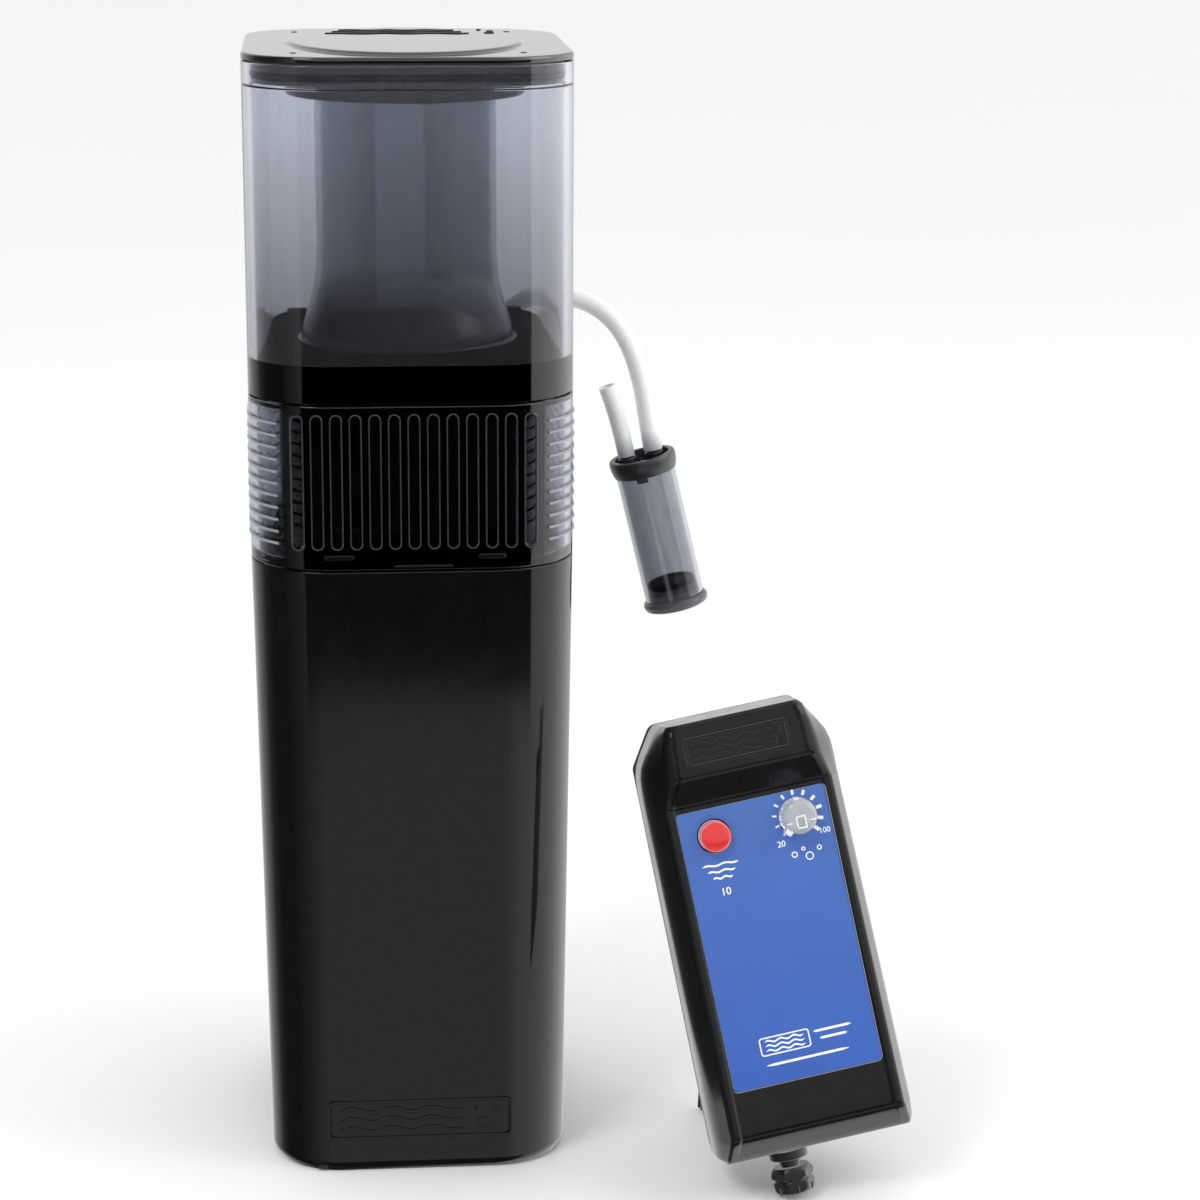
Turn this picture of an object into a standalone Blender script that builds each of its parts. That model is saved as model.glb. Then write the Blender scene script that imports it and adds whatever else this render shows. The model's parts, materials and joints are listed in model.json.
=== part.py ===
"""Protein skimmer for an aquarium: square column, collection cup, air silencer and speed controller.

Lengths are in millimetres and angles in degrees until an object is made, which scales them to metres.
+Z is up, the front faces -Y, and the origin is the centre of the column's base.
"""
import math

import bmesh
import bpy
from mathutils import Matrix, Vector

MM = 0.001
GAP = 0.3            # clearance between neighbouring pieces
CORNER_STEPS = 8     # faces round each corner of the column
SIDE_STEPS = 3       # stretches along each flat side
RING_POINTS = 4 * (CORNER_STEPS + SIDE_STEPS)

# Column: half width, half depth and corner radius at the foot, and from the rim upwards
FOOT = (43.3, 52.6, 21.2)
RIM = (46.0, 55.0, 24.0)
WALL = 2.2
FLOOR = 3.0

# Levels of the column
RIM_Z = 182.0
SEAM_Z = 229.3
LID_Z = 322.0
TOP_Z = 325.0
DECK_Z = 236.4       # top of the black deck under the cup
CUP_FLOOR_Z = 237.6

# Comb in front of the ring
SLOT_COUNT = 13
SLOT_PITCH = 5.4
SLOT_WIDTH = 3.2
SLOT_SPAN = (188.5, 226.6)

# Chamber inside the column
CHAMBER = (36.0, 42.0, 12.0)
CHAMBER_FOOT_Z = 92.0
DECK = (41.2, 50.3, 19.5)
NECK_RADIUS = 25.5
NECK_TOP_Z = 244.0
LEG = (33.0, 30.0, 2.6)

# Riser inside the cup: outer radius at each height
RISER = ((31.6, 239.8), (31.0, 243.0), (28.6, 250.0), (26.9, 257.0), (26.3, 264.0), (26.3, 313.0))
RISER_WALL = 1.8
LENS_RISE = 0.8      # of the oval on the lid

# Pump, lying along Y on the floor
PUMP_Z = 30.0
MOTOR_RADIUS = 20.0
VOLUTE_RADIUS = 22.0
OUTLET_Y = 13.0
NOZZLE_Y = 37.0

# Air line
FITTING = (24.0, 60.5, 166.0)
BARB_TOP_Z = 184.0
HOSE_RADIUS = 3.0
AIRLINE_ROUTE = ((24, 60.5, 184.3), (24, 60.5, 200), (24.6, 60.4, 217), (28, 60, 229.5), (36, 59, 238.2),
                 (45.5, 57.8, 241.8), (54.4, 56.6, 241.1), (61.4, 55.4, 238), (67.1, 54.2, 232.6),
                 (71.4, 53.2, 224.8), (74.5, 52.5, 214.4), (76.4, 52.1, 203.2), (78.08, 52, 194.1))
INNER_ROUTE = ((24, 47, 151.7), (23.6, 47, 138), (20.5, 47, 120), (14, 46.6, 103), (7, 45, 87),
               (2, 40.5, 69), (0.2, 37.6, 56), (0, 37, 49.3))
STUB_ROUTE = ((69.72, 52, 192.1), (68.3, 51.9, 198.4), (66.1, 51.6, 206.4), (63.4, 51.3, 214.4))

# Silencer, hanging from the air line; its own Z runs up its axis from the top of the cap
SILENCER_TOP = (74.4, 52.0, 192.3)
SILENCER_TILT = -13.5
CAP_RADIUS = 10.6
TUBE_RADIUS = 9.3
TUBE_LENGTH = 42.2

# Controller, in its own frame: X to the right, Y to the back, Z along its length
CONTROLLER_CENTRE = (102.4, -61.6, 71.95)
CONTROLLER_ROLL = -11.2
CONTROLLER_LEAN = -14.0
CASE = (29.6, 28.6, 21.2)       # half width at the foot, the shoulder and the top
CASE_Z = (-59.2, 56.5, 68.0)    # their levels
PANEL = (21.8, -38.1, 42.8)     # half width, lower and upper edge
FACE_Y = -13.0
BACK_Y = 13.0
HOOD_RISE = 4.5
BUTTON = (-12.0, 34.8)
KNOB = (12.4, 35.5)
INLET = (11.4, 2.0)
GLAND = (-9.0, 0.0)
STAND_PIVOT = (20.6, 20.0)      # Y and Z of the stand's hinge
STAND_ANGLE = 28.0
STAND_LENGTH = 88.4
STAND_HALF = 12.0


def clear_scene():
    """Remove what the file holds."""
    for obj in list(bpy.data.objects):
        bpy.data.objects.remove(obj, do_unlink=True)


def material(name, colour, roughness, metallic=0.0, alpha=1.0):
    """A Principled material."""
    mat = bpy.data.materials.new(name)
    mat.use_nodes = True
    shader = mat.node_tree.nodes["Principled BSDF"]
    shader.inputs["Base Color"].default_value = (*colour, 1.0)
    shader.inputs["Roughness"].default_value = roughness
    shader.inputs["Metallic"].default_value = metallic
    shader.inputs["Alpha"].default_value = alpha
    return mat


# ---------------------------------------------------------------- outlines

def rounded_box(half_x, half_y, radius, inset=0.0):
    """Points round a rounded rectangle, from the front right corner."""
    half_x, half_y, radius = half_x - inset, half_y - inset, max(radius - inset, 0.5)
    points = []
    for corner, (sx, sy) in enumerate(((1, -1), (1, 1), (-1, 1), (-1, -1))):
        centre = Vector((sx * (half_x - radius), sy * (half_y - radius)))
        for step in range(CORNER_STEPS + 1):
            angle = math.radians(90 * (corner - 1) + 90 * step / CORNER_STEPS)
            points.append(centre + radius * Vector((math.cos(angle), math.sin(angle))))
    full = []
    for index, point in enumerate(points):
        full.append(point)
        if index % (CORNER_STEPS + 1) == CORNER_STEPS:
            after = points[(index + 1) % len(points)]
            full += [point.lerp(after, k / SIDE_STEPS) for k in range(1, SIDE_STEPS)]
    return full


def ring_points(radius_x, radius_y=None, count=RING_POINTS):
    """Points round a circle or ellipse, in step with those of rounded_box."""
    radius_y = radius_y or radius_x
    start = -45 - 360 / count * CORNER_STEPS / 2
    angles = [math.radians(start + 360 * k / count) for k in range(count)]
    return [Vector((radius_x * math.cos(a), radius_y * math.sin(a))) for a in angles]


def hexagon(radius):
    """Points round a hexagon, in step with ring_points of 24."""
    points = []
    for point in ring_points(radius, count=24):
        turn = math.atan2(point.y, point.x) % math.radians(60) - math.radians(30)
        points.append(point * math.cos(math.radians(30)) / math.cos(turn))
    return points


def rounded_polygon(corners, radius, steps=4):
    """Points round a convex polygon with round corners."""
    points = []
    for index, corner in enumerate(corners):
        corner = Vector(corner)
        to_last = (Vector(corners[index - 1]) - corner).normalized()
        to_next = (Vector(corners[(index + 1) % len(corners)]) - corner).normalized()
        half = to_last.angle(to_next) / 2
        centre = corner + (to_last + to_next).normalized() * radius / math.sin(half)
        start = corner + to_last * radius / math.tan(half) - centre
        turn = start.angle_signed(corner + to_next * radius / math.tan(half) - centre)
        for step in range(steps + 1):
            spin = Matrix.Rotation(-turn * step / steps, 2)
            points.append(centre + spin @ start)
    return points


def column(z, inset=0.0):
    """The column's outline at a height."""
    part = min(max(z / RIM_Z, 0.0), 1.0)
    sizes = [low + (high - low) * part for low, high in zip(FOOT, RIM)]
    return rounded_box(*sizes, inset)


# ---------------------------------------------------------------- meshes

def loft(sections, closed=False):
    """A solid through outlines with equally many points; each section is (outline, z)."""
    bm = bmesh.new()
    rings = [[bm.verts.new((p[0], p[1], z)) for p in outline] for outline, z in sections]
    pairs = list(zip(rings, rings[1:]))
    if closed:
        pairs.append((rings[-1], rings[0]))
    for low, high in pairs:
        for k in range(len(low)):
            after = (k + 1) % len(low)
            bm.faces.new((low[k], low[after], high[after], high[k]))
    if not closed:
        bm.faces.new(reversed(rings[0]))
        bm.faces.new(rings[-1])
    bmesh.ops.recalc_face_normals(bm, faces=bm.faces)
    return bm


def turned(profile, count=32, closed=False):
    """A solid of revolution about Z from (radius, z) points."""
    return loft([(ring_points(radius, count=count), z) for radius, z in profile], closed)


def block(low, high, bevel=0.0):
    """A box between two corners."""
    bm = bmesh.new()
    bmesh.ops.create_cube(bm, size=1.0)
    size = Vector(high) - Vector(low)
    middle = (Vector(high) + Vector(low)) / 2
    bmesh.ops.transform(bm, matrix=Matrix.Translation(middle) @ Matrix.Diagonal((*size, 1)), verts=bm.verts)
    if bevel:
        bmesh.ops.bevel(bm, geom=bm.edges, offset=bevel, segments=2, affect="EDGES")
    return bm


def moved(bm, matrix):
    """The same mesh, moved."""
    bmesh.ops.transform(bm, matrix=matrix, verts=bm.verts)
    return bm


def along_y(bm, x=0.0, z=0.0):
    """A turned solid laid along Y."""
    return moved(bm, Matrix.Translation((x, 0, z)) @ Matrix.Rotation(math.radians(-90), 4, "X"))


def joined(*parts):
    """Several meshes as one."""
    whole = bmesh.new()
    for part in parts:
        mesh = bpy.data.meshes.new("part")
        part.to_mesh(mesh)
        part.free()
        whole.from_mesh(mesh)
        bpy.data.meshes.remove(mesh)
    return whole


def make(name, bm, mat, place=None, origin=(0, 0, 0), smooth=True):
    """An object from a mesh in millimetres, in the frame that place gives, with its origin set."""
    place = place or Matrix.Identity(4)
    pivot = place @ Matrix.Translation(origin)
    bmesh.ops.transform(bm, matrix=Matrix.Translation(-Vector(origin)), verts=bm.verts)
    bmesh.ops.scale(bm, vec=(MM, MM, MM), verts=bm.verts)
    mesh = bpy.data.meshes.new(name)
    bm.to_mesh(mesh)
    bm.free()
    if smooth:
        mesh.shade_smooth()
        mesh.set_sharp_from_angle(angle=math.radians(32))
    mesh.materials.append(mat)
    obj = bpy.data.objects.new(name, mesh)
    obj.matrix_world = Matrix.Translation(pivot.translation * MM) @ pivot.to_3x3().to_4x4()
    bpy.context.collection.objects.link(obj)
    return obj


def shape(obj, operation, bm, place=None):
    """A Boolean on an object by a mesh in millimetres."""
    tool = make(f"{obj.name}_{operation.lower()}", bm, obj.active_material, place, smooth=False)
    tool.hide_render = True
    tool.display_type = "WIRE"
    change = obj.modifiers.new(operation.title(), "BOOLEAN")
    change.operation = operation
    change.solver = "EXACT"
    change.use_self = True
    change.object = tool


def tube_object(name, route, radius, mat, spacing):
    """A hose along a smooth curve through a route."""
    line = smooth_line([Vector(p) for p in route], spacing)
    curve = bpy.data.curves.new(name, "CURVE")
    curve.dimensions = "3D"
    curve.bevel_depth = radius * MM
    curve.bevel_resolution = 3
    curve.use_fill_caps = True
    spline = curve.splines.new("POLY")
    spline.points.add(len(line) - 1)
    for point, place in zip(spline.points, line):
        point.co = (*(place * MM), 1.0)
    curve.materials.append(mat)
    obj = bpy.data.objects.new(name, curve)
    bpy.context.collection.objects.link(obj)
    return obj


def smooth_line(route, spacing):
    """Evenly spaced points on a Catmull-Rom curve through a route."""
    ends = [route[0] * 2 - route[1]] + route + [route[-1] * 2 - route[-2]]
    fine = []
    for a, b, c, d in zip(ends, ends[1:], ends[2:], ends[3:]):
        for k in range(20):
            t = k / 20
            fine.append(0.5 * (2 * b + (c - a) * t + (2 * a - 5 * b + 4 * c - d) * t ** 2
                               + (3 * b - a - 3 * c + d) * t ** 3))
    fine.append(route[-1])
    lengths = [0.0]
    for before, after in zip(fine, fine[1:]):
        lengths.append(lengths[-1] + (after - before).length)
    count = round(lengths[-1] / spacing)
    line, index = [], 0
    for k in range(count + 1):
        target = lengths[-1] * k / count
        while index < len(fine) - 2 and lengths[index + 1] < target:
            index += 1
        part = (target - lengths[index]) / (lengths[index + 1] - lengths[index])
        line.append(fine[index].lerp(fine[index + 1], part))
    return line


# ---------------------------------------------------------------- column

def build_housing(mats):
    """The black lower housing with its outlet slots, and what is fixed to its back."""
    edge, inner = 0.8, FLOOR + 2.0
    bm = loft([(column(0, edge), 0), (column(edge), edge), (column(RIM_Z), RIM_Z),
               (column(RIM_Z, WALL), RIM_Z), (column(inner, WALL), inner), (column(FLOOR, WALL + 2), FLOOR)])
    housing = make("housing", bm, mats["black"])
    slots = [block((x - 2, 45, 100), (x + 2, 60, 146)) for x in range(-21, 2, 7)]
    port = along_y(turned([(3.2, 45), (3.2, 60)], 24), FITTING[0], FITTING[2])
    shape(housing, "DIFFERENCE", joined(*slots, port))
    make("outlet_foam", block((-25, 43.2, 96), (4, 50.6, 150), 1.0), mats["foam"])

    fitting = make("air_fitting", along_y(turned([(2.9, 47), (2.9, FITTING[1])], 24), FITTING[0], FITTING[2]),
                   mats["black"])
    collar = along_y(turned([(5.0, 55.2), (5.0, 57.0)], 24), FITTING[0], FITTING[2])
    inner_leg = moved(turned([(2.1, 152), (2.1, 156), (2.9, 156), (2.9, 169)], 24), shift(FITTING[0], 47))
    outer_leg = moved(turned([(2.9, 163), (2.9, 176), (2.1, 176), (2.6, 178.5), (2.1, 178.6), (2.6, 181),
                              (2.1, 181.1), (2.1, BARB_TOP_Z)], 24), shift(FITTING[0], FITTING[1]))
    shape(fitting, "UNION", joined(collar, inner_leg, outer_leg))


def shift(x, y, z=0.0):
    """A move as a matrix."""
    return Matrix.Translation((x, y, z))


def build_magnet_mount(mats):
    """The holder that keeps the column against the glass."""
    holder = make("magnet_holder", block((-24, 54.4, 58), (24, 62, 84), 1.2), mats["black"])
    pockets = [along_y(turned([(8.3, 56.5), (8.3, 65)], 32), x, 71) for x in (-12, 12)]
    shape(holder, "DIFFERENCE", joined(*pockets))
    for side, x in (("left", -12), ("right", 12)):
        make(f"magnet_{side}", along_y(turned([(8.0, 56.8), (8.0, 61.7)], 32), x, 71), mats["steel"])
    make("magnet_pad", block((-24, 62.3, 58), (24, 64, 84), 0.5), mats["rubber"])


def build_ring(mats):
    """The smoked comb ring: a sleeve that plugs into the housing, with surface slots in front."""
    spigot, lip = WALL + 0.4, WALL + 0.3
    low, high = RIM_Z - 5, SEAM_Z + 5.6
    bm = loft([(column(low, spigot + 1.6), low), (column(low, spigot), low),
               (column(RIM_Z, spigot), RIM_Z + GAP), (column(RIM_Z), RIM_Z + GAP),
               (column(SEAM_Z), SEAM_Z - GAP), (column(SEAM_Z, lip), SEAM_Z - GAP),
               (column(high, lip), high), (column(high, lip + 1.6), high),
               (column(high, lip + 1.6), SEAM_Z), (column(high, WALL), SEAM_Z - 2),
               (column(high, WALL), RIM_Z + 3), (column(high, spigot + 1.6), RIM_Z + 1)], closed=True)
    ring = make("comb_ring", bm, mats["smoke"])
    slots = []
    for index in range(SLOT_COUNT):
        x = (index - (SLOT_COUNT - 1) / 2) * SLOT_PITCH
        slots.append(slot(x, *SLOT_SPAN, SLOT_WIDTH))
    shape(ring, "DIFFERENCE", joined(*slots))


def slot(x, low, high, width):
    """A round-ended cutter through the front wall."""
    radius = width / 2
    ends = ((low + radius, -90), (high - radius, 90))
    outline = []
    for z, turn in ends:
        for step in range(-3, 4):
            angle = math.radians(turn + 30 * step)
            outline.append(Vector((x + radius * math.cos(angle), z + radius * math.sin(angle))))
    bm = loft([(outline, 30), (outline, 60)])
    return moved(bm, Matrix.Rotation(math.radians(90), 4, "X"))


def build_cup(mats):
    """The collection cup with its riser, and the lid with its gasket."""
    skirt, top = SEAM_Z, LID_Z
    floor_top = CUP_FLOOR_Z + 2.2
    sections = [(column(skirt, WALL), skirt), (column(skirt), skirt), (column(top), top),
                (column(top, WALL), top), (column(floor_top, WALL), floor_top)]
    sections += [(ring_points(radius), z) for radius, z in RISER]
    sections += [(ring_points(radius - RISER_WALL), z) for radius, z in reversed(RISER)]
    sections += [(ring_points(RISER[0][0] - RISER_WALL), CUP_FLOOR_Z), (column(skirt, WALL), CUP_FLOOR_Z)]
    make("cup", loft(sections, closed=True), mats["smoke"])

    under = LID_Z - 6
    plug, plug_z = 35.0, 310.0
    lens = (34.0, 49.0)
    edge = TOP_Z - LENS_RISE
    groove = 1.0
    sections = [(ring_points(plug - 2.4), LID_Z - 1), (ring_points(plug - 2.4), plug_z),
                (ring_points(plug), plug_z), (ring_points(plug), under),
                (column(under, WALL + 0.5), under), (column(under, WALL + 0.5), under + 1.4),
                (column(under, WALL + 0.5 + groove), under + 1.4), (column(under, WALL + 0.5 + groove), under + 3.4),
                (column(under, WALL + 0.5), under + 3.4), (column(under, WALL + 0.5), LID_Z + GAP),
                (column(LID_Z), LID_Z + GAP), (column(LID_Z), edge - 0.7), (column(LID_Z, 0.7), edge),
                (ring_points(*lens), edge), (ring_points(lens[0] - 1.5, lens[1] - 1.5), TOP_Z)]
    make("lid", loft(sections), mats["black"])
    inner, outer = WALL + 0.5 + groove - 0.1, WALL + 0.2
    gasket = [(column(under, inner), under + 1.6), (column(under, outer), under + 1.6),
              (column(under, outer), under + 3.2), (column(under, inner), under + 3.2)]
    make("lid_gasket", loft(gasket, closed=True), mats["rubber"])


def build_chamber(mats):
    """The black chamber: four legs, a box, the deck under the cup, and the neck into the riser."""
    inner, deck_low = 2.0, DECK_Z - 3.2
    bm = loft([(rounded_box(*CHAMBER, inner), CHAMBER_FOOT_Z), (rounded_box(*CHAMBER), CHAMBER_FOOT_Z),
               (rounded_box(*CHAMBER), deck_low), (rounded_box(*DECK), deck_low), (rounded_box(*DECK), DECK_Z),
               (ring_points(NECK_RADIUS), DECK_Z), (ring_points(NECK_RADIUS), NECK_TOP_Z),
               (ring_points(NECK_RADIUS - inner), NECK_TOP_Z), (ring_points(NECK_RADIUS - inner), deck_low - 2),
               (rounded_box(*CHAMBER, inner), deck_low - 2)], closed=True)
    chamber = make("chamber", bm, mats["black"])
    leg_x, leg_y, leg_radius = LEG
    legs = [moved(turned([(leg_radius, FLOOR + GAP), (leg_radius, CHAMBER_FOOT_Z + 6)], 12), shift(x, y))
            for x in (-leg_x, leg_x) for y in (-leg_y, leg_y)]
    shape(chamber, "UNION", joined(*legs))
    ring_in, ring_out, level = NECK_RADIUS + 0.1, NECK_RADIUS + 1.9, 240.6
    seal = [((ring_in + ring_out) / 2 + 0.9 * math.cos(a), level + 0.9 * math.sin(a))
            for a in [math.radians(45 * k) for k in range(8)]]
    make("neck_seal", turned(seal, 44, closed=True), mats["rubber"])


# ---------------------------------------------------------------- pump

def build_pump(mats):
    """The pump with its needle wheel, lying on two rubber cradles."""
    motor = [(7.8, 2), (MOTOR_RADIUS, 2), (MOTOR_RADIUS, -6), (MOTOR_RADIUS - 1.5, -7.5),
             (MOTOR_RADIUS - 1.5, -34), (MOTOR_RADIUS, -35.5), (MOTOR_RADIUS, -42)]
    profile = [(7.8, -26)] + motor
    make("pump_motor", along_y(turned(profile, 40), 0, PUMP_Z), mats["black"])
    make("motor_cap", along_y(turned([(MOTOR_RADIUS, -42.3), (MOTOR_RADIUS, -44.5), (MOTOR_RADIUS - 2, -46.5)],
                                     40), 0, PUMP_Z), mats["grey"])
    volute = [(VOLUTE_RADIUS, 2.3), (VOLUTE_RADIUS, 22.5), (VOLUTE_RADIUS - 1.5, 24), (7.5, 24), (7.5, 43),
              (5.5, 43), (5.5, 22), (VOLUTE_RADIUS - 2, 22), (VOLUTE_RADIUS - 2, 2.3)]
    pump = make("pump_volute", along_y(turned(volute, 40, closed=True), 0, PUMP_Z), mats["black"])
    riser = moved(turned([(8, PUMP_Z + 20.6), (8, PUMP_Z + 36)], 32), shift(0, OUTLET_Y))
    nozzle = moved(turned([(2.2, PUMP_Z + 6.2), (2.2, PUMP_Z + 19)], 16), shift(0, NOZZLE_Y))
    shape(pump, "UNION", joined(riser, nozzle))
    bore = moved(turned([(6, PUMP_Z + 10), (6, PUMP_Z + 40)], 32), shift(0, OUTLET_Y))
    shape(pump, "DIFFERENCE", bore)

    axle = 1.35
    centre = (0, 0, PUMP_Z)
    make("rotor_magnet", along_y(turned([(axle, -23), (7.0, -23), (7.0, 8.4), (axle, 8.4)], 32, True), 0, PUMP_Z),
         mats["grey"], origin=centre)
    wheel = make("needle_wheel", along_y(turned([(axle, 8.7), (17, 8.7), (17, 10.7), (4, 10.7), (4, 13),
                                                 (axle, 13)], 32, True), 0, PUMP_Z), mats["white"], origin=centre)
    pins = []
    for radius, count, start in ((15, 12, 0), (11.5, 9, 20), (8, 6, 10)):
        for k in range(count):
            angle = math.radians(start + 360 * k / count)
            pins.append(along_y(turned([(0.7, 9.5), (0.6, 18.5)], 6), radius * math.cos(angle),
                                PUMP_Z + radius * math.sin(angle)))
    shape(wheel, "UNION", joined(*pins))
    make("shaft", along_y(turned([(1.25, -25.7), (1.25, 20)], 24), 0, PUMP_Z), mats["white"])
    make("rear_bush", along_y(turned([(axle, -25.7), (4, -25.7), (4, -23.3), (axle, -23.3)], 24, True), 0, PUMP_Z),
         mats["rubber"])
    make("front_bush", along_y(turned([(axle, 13.3), (3.4, 13.3), (3.4, 15.5), (axle, 15.5)], 24, True), 0, PUMP_Z),
         mats["rubber"])
    for name, y, radius in (("cradle_front", -38.8, MOTOR_RADIUS), ("cradle_rear", 17, VOLUTE_RADIUS)):
        cradle = make(name, block((-15, y - 4, FLOOR + GAP), (15, y + 4, 16), 0.8), mats["rubber"])
        seat = along_y(turned([(radius + GAP, y - 10), (radius + GAP, y + 10)], 40), 0, PUMP_Z)
        shape(cradle, "DIFFERENCE", seat)


# ---------------------------------------------------------------- silencer

def build_silencer(mats):
    """The air line and the silencer that hangs from it."""
    tube_object("air_hose", AIRLINE_ROUTE, HOSE_RADIUS, mats["silicone"], 6.0)
    tube_object("stub_hose", STUB_ROUTE, 2.7, mats["silicone"], 5.0)
    tube_object("inner_air_tube", INNER_ROUTE, 2.5, mats["silicone"], 6.0)
    place = Matrix.Translation(SILENCER_TOP) @ Matrix.Rotation(math.radians(SILENCER_TILT), 4, "Y")
    well, skirt = 8.6, TUBE_RADIUS + GAP
    cap = [(well, -2.6), (well, 0), (CAP_RADIUS - 0.4, 0), (CAP_RADIUS, -0.5), (CAP_RADIUS, -5.6),
           (skirt, -5.6), (skirt, -4)]
    silencer_cap = make("silencer_cap", turned(cap, 40), mats["black"], place)
    nipples = [moved(turned([(2.9, -3.2), (2.9, 0.6)], 20), shift(x, 0)) for x in (-4.6, 4.0)]
    shape(silencer_cap, "UNION", joined(*nipples), place)
    top, bottom = -4 - GAP, -4 - GAP - TUBE_LENGTH
    wall = 1.2
    make("silencer_tube", turned([(TUBE_RADIUS - wall, top), (TUBE_RADIUS, top), (TUBE_RADIUS, bottom),
                                  (TUBE_RADIUS - wall, bottom)], 40, closed=True), mats["frost"], place)
    make("silencer_base", turned([(7.9, bottom + 3), (7.9, bottom - GAP), (CAP_RADIUS - 0.2, bottom - GAP),
                                  (CAP_RADIUS - 0.2, bottom - 2.6), (CAP_RADIUS - 1, bottom - 3.4)][::-1], 40),
         mats["frost"], place)
    make("silencer_foam", turned([(7.6, bottom + 3.4), (7.6, bottom + 5.2)], 32), mats["foam"], place)


# ---------------------------------------------------------------- controller

def controller_outline(inset=0.0, raise_foot=0.0):
    """The controller's outline seen from the front."""
    (foot, shoulder, top), (low, mid, high) = CASE, CASE_Z
    low += raise_foot
    corners = [(-foot, low), (foot, low), (shoulder, mid), (top, high), (-top, high), (-shoulder, mid)]
    middle = Vector((0, 5))
    radius = max(3.5 - inset / 2, 1.2)
    points = []
    for x, z in rounded_polygon(corners, radius):
        points.append(Vector((x - math.copysign(inset, x - middle.x), z - math.copysign(inset, z - middle.y))))
    return points


def facing_front(bm):
    """A loft drawn in X and Z, with its third coordinate measured towards the front."""
    return moved(bm, Matrix.Rotation(math.radians(90), 4, "X"))


def build_controller(mats):
    """The speed controller, standing on its cable gland and its fold-out stand."""
    place = (Matrix.Translation(CONTROLLER_CENTRE) @ Matrix.Rotation(math.radians(CONTROLLER_LEAN), 4, "X")
             @ Matrix.Rotation(math.radians(CONTROLLER_ROLL), 4, "Y"))
    build_case(mats, place)
    build_controls(mats, place)
    build_sockets(mats, place)
    build_stand(mats, place)


def build_case(mats, place):
    """Shell, back cover, screws, circuit board, hood and face panel."""
    front, back = -FACE_Y, -BACK_Y
    bm = loft([(controller_outline(7.5, 8), front - 2.6), (controller_outline(2.8, 1), back),
               (controller_outline(), back), (controller_outline(), front - 7),
               (controller_outline(4.2, 7), front)])
    shell = make("controller_shell", facing_front(bm), mats["black"], place)
    half, low, high = PANEL
    recess = block((-half - GAP, FACE_Y - 3, low - GAP), (half + GAP, FACE_Y + 1.2, high + GAP))
    holes = [along_y(turned([(radius, FACE_Y - 3), (radius, FACE_Y + 6)], 24), x, z)
             for radius, (x, z) in ((5.0, BUTTON), (3.6, KNOB))]
    socket = moved(turned([(5.6, -70), (5.6, -46)], 24), shift(*INLET))
    shape(shell, "DIFFERENCE", joined(recess, *holes, socket), place)

    cover = loft([(controller_outline(1.0), back - 2.4), (controller_outline(), back - 1.6),
                  (controller_outline(), back - GAP)])
    cover = make("controller_back", facing_front(cover), mats["black"], place)
    places = [(x, z) for x in (-21, 21) for z in (-49, 51)]
    seats = [along_y(turned([(2.9, BACK_Y + 1.2), (2.9, BACK_Y + 4)], 20), x, z) for x, z in places]
    shape(cover, "DIFFERENCE", joined(*seats), place)
    for index, (x, z) in enumerate(places):
        head = along_y(turned([(2.5, BACK_Y + 1.5), (2.5, BACK_Y + 2.2), (1.9, BACK_Y + 2.6)], 20), x, z)
        make(f"case_screw_{index + 1}", head, mats["steel"], place)
    make("circuit_board", block((-22, 2, -43), (22, 3.6, 42)), mats["board"], place)

    panel = make("face_panel", block((-half, FACE_Y, low), (half, FACE_Y + 0.9, high), 0.2), mats["blue"], place)
    holes = [along_y(turned([(radius, FACE_Y - 3), (radius, FACE_Y + 6)], 24), x, z)
             for radius, (x, z) in ((5.0, BUTTON), (3.6, KNOB))]
    shape(panel, "DIFFERENCE", joined(*holes), place)
    face = front + GAP
    rim = [(-21.5, high + 1.5), (21.5, high + 1.5), (20.5, 56), (16.5, 64), (-16.5, 64), (-20.5, 56)]
    crown = [(-19.3, high + 9.7), (19.3, high + 9.7), (19.3, 56), (16, 63.5), (-16, 63.5), (-19.3, 56)]
    hood = loft([(rounded_polygon(rim, 2), face), (rounded_polygon(crown, 2), face + HOOD_RISE)])
    make("hood", facing_front(hood), mats["black"], place)


def build_controls(mats, place):
    """The sprung button and the speed knob."""
    x, z = BUTTON
    button = along_y(turned([(4.5, FACE_Y + 2), (4.5, FACE_Y - 2.6), (3.9, FACE_Y - 3.4)], 32), x, z)
    make("button", button, mats["red"], place, origin=(x, FACE_Y, z))
    switch = block((x - 4.5, -1.5, z - 4.5), (x + 4.5, 1.7, z + 4.5))
    make("switch", switch, mats["grey"], place)
    coil = turned([(2.2, -FACE_Y - 2.3), (3.0, -FACE_Y - 2.3), (3.0, 1.8), (2.2, 1.8)], 20, closed=True)
    coil = moved(coil, Matrix.Translation((x, 0, z)) @ Matrix.Rotation(math.radians(90), 4, "X"))
    make("button_spring", coil, mats["steel"], place)

    x, z = KNOB
    knob = along_y(turned([(3.1, FACE_Y + 2), (3.1, FACE_Y - 0.4), (5.0, FACE_Y - 0.4), (4.8, FACE_Y - 6.4),
                           (4.2, FACE_Y - 7)], 32), x, z)
    knob = make("knob", knob, mats["clear"], place, origin=(x, FACE_Y, z))
    lobe = block((x - 1.1, FACE_Y - 6.6, z - 6.4), (x + 1.1, FACE_Y - 0.6, z - 3))
    turn = Matrix.Translation((x, 0, z)) @ Matrix.Rotation(math.radians(45), 4, "Y")
    shape(knob, "UNION", moved(lobe, turn @ Matrix.Translation((-x, 0, -z))), place)
    make("potentiometer", along_y(turned([(7, -10.2), (7, 1.7)], 32), x, z), mats["grey"], place)


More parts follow.
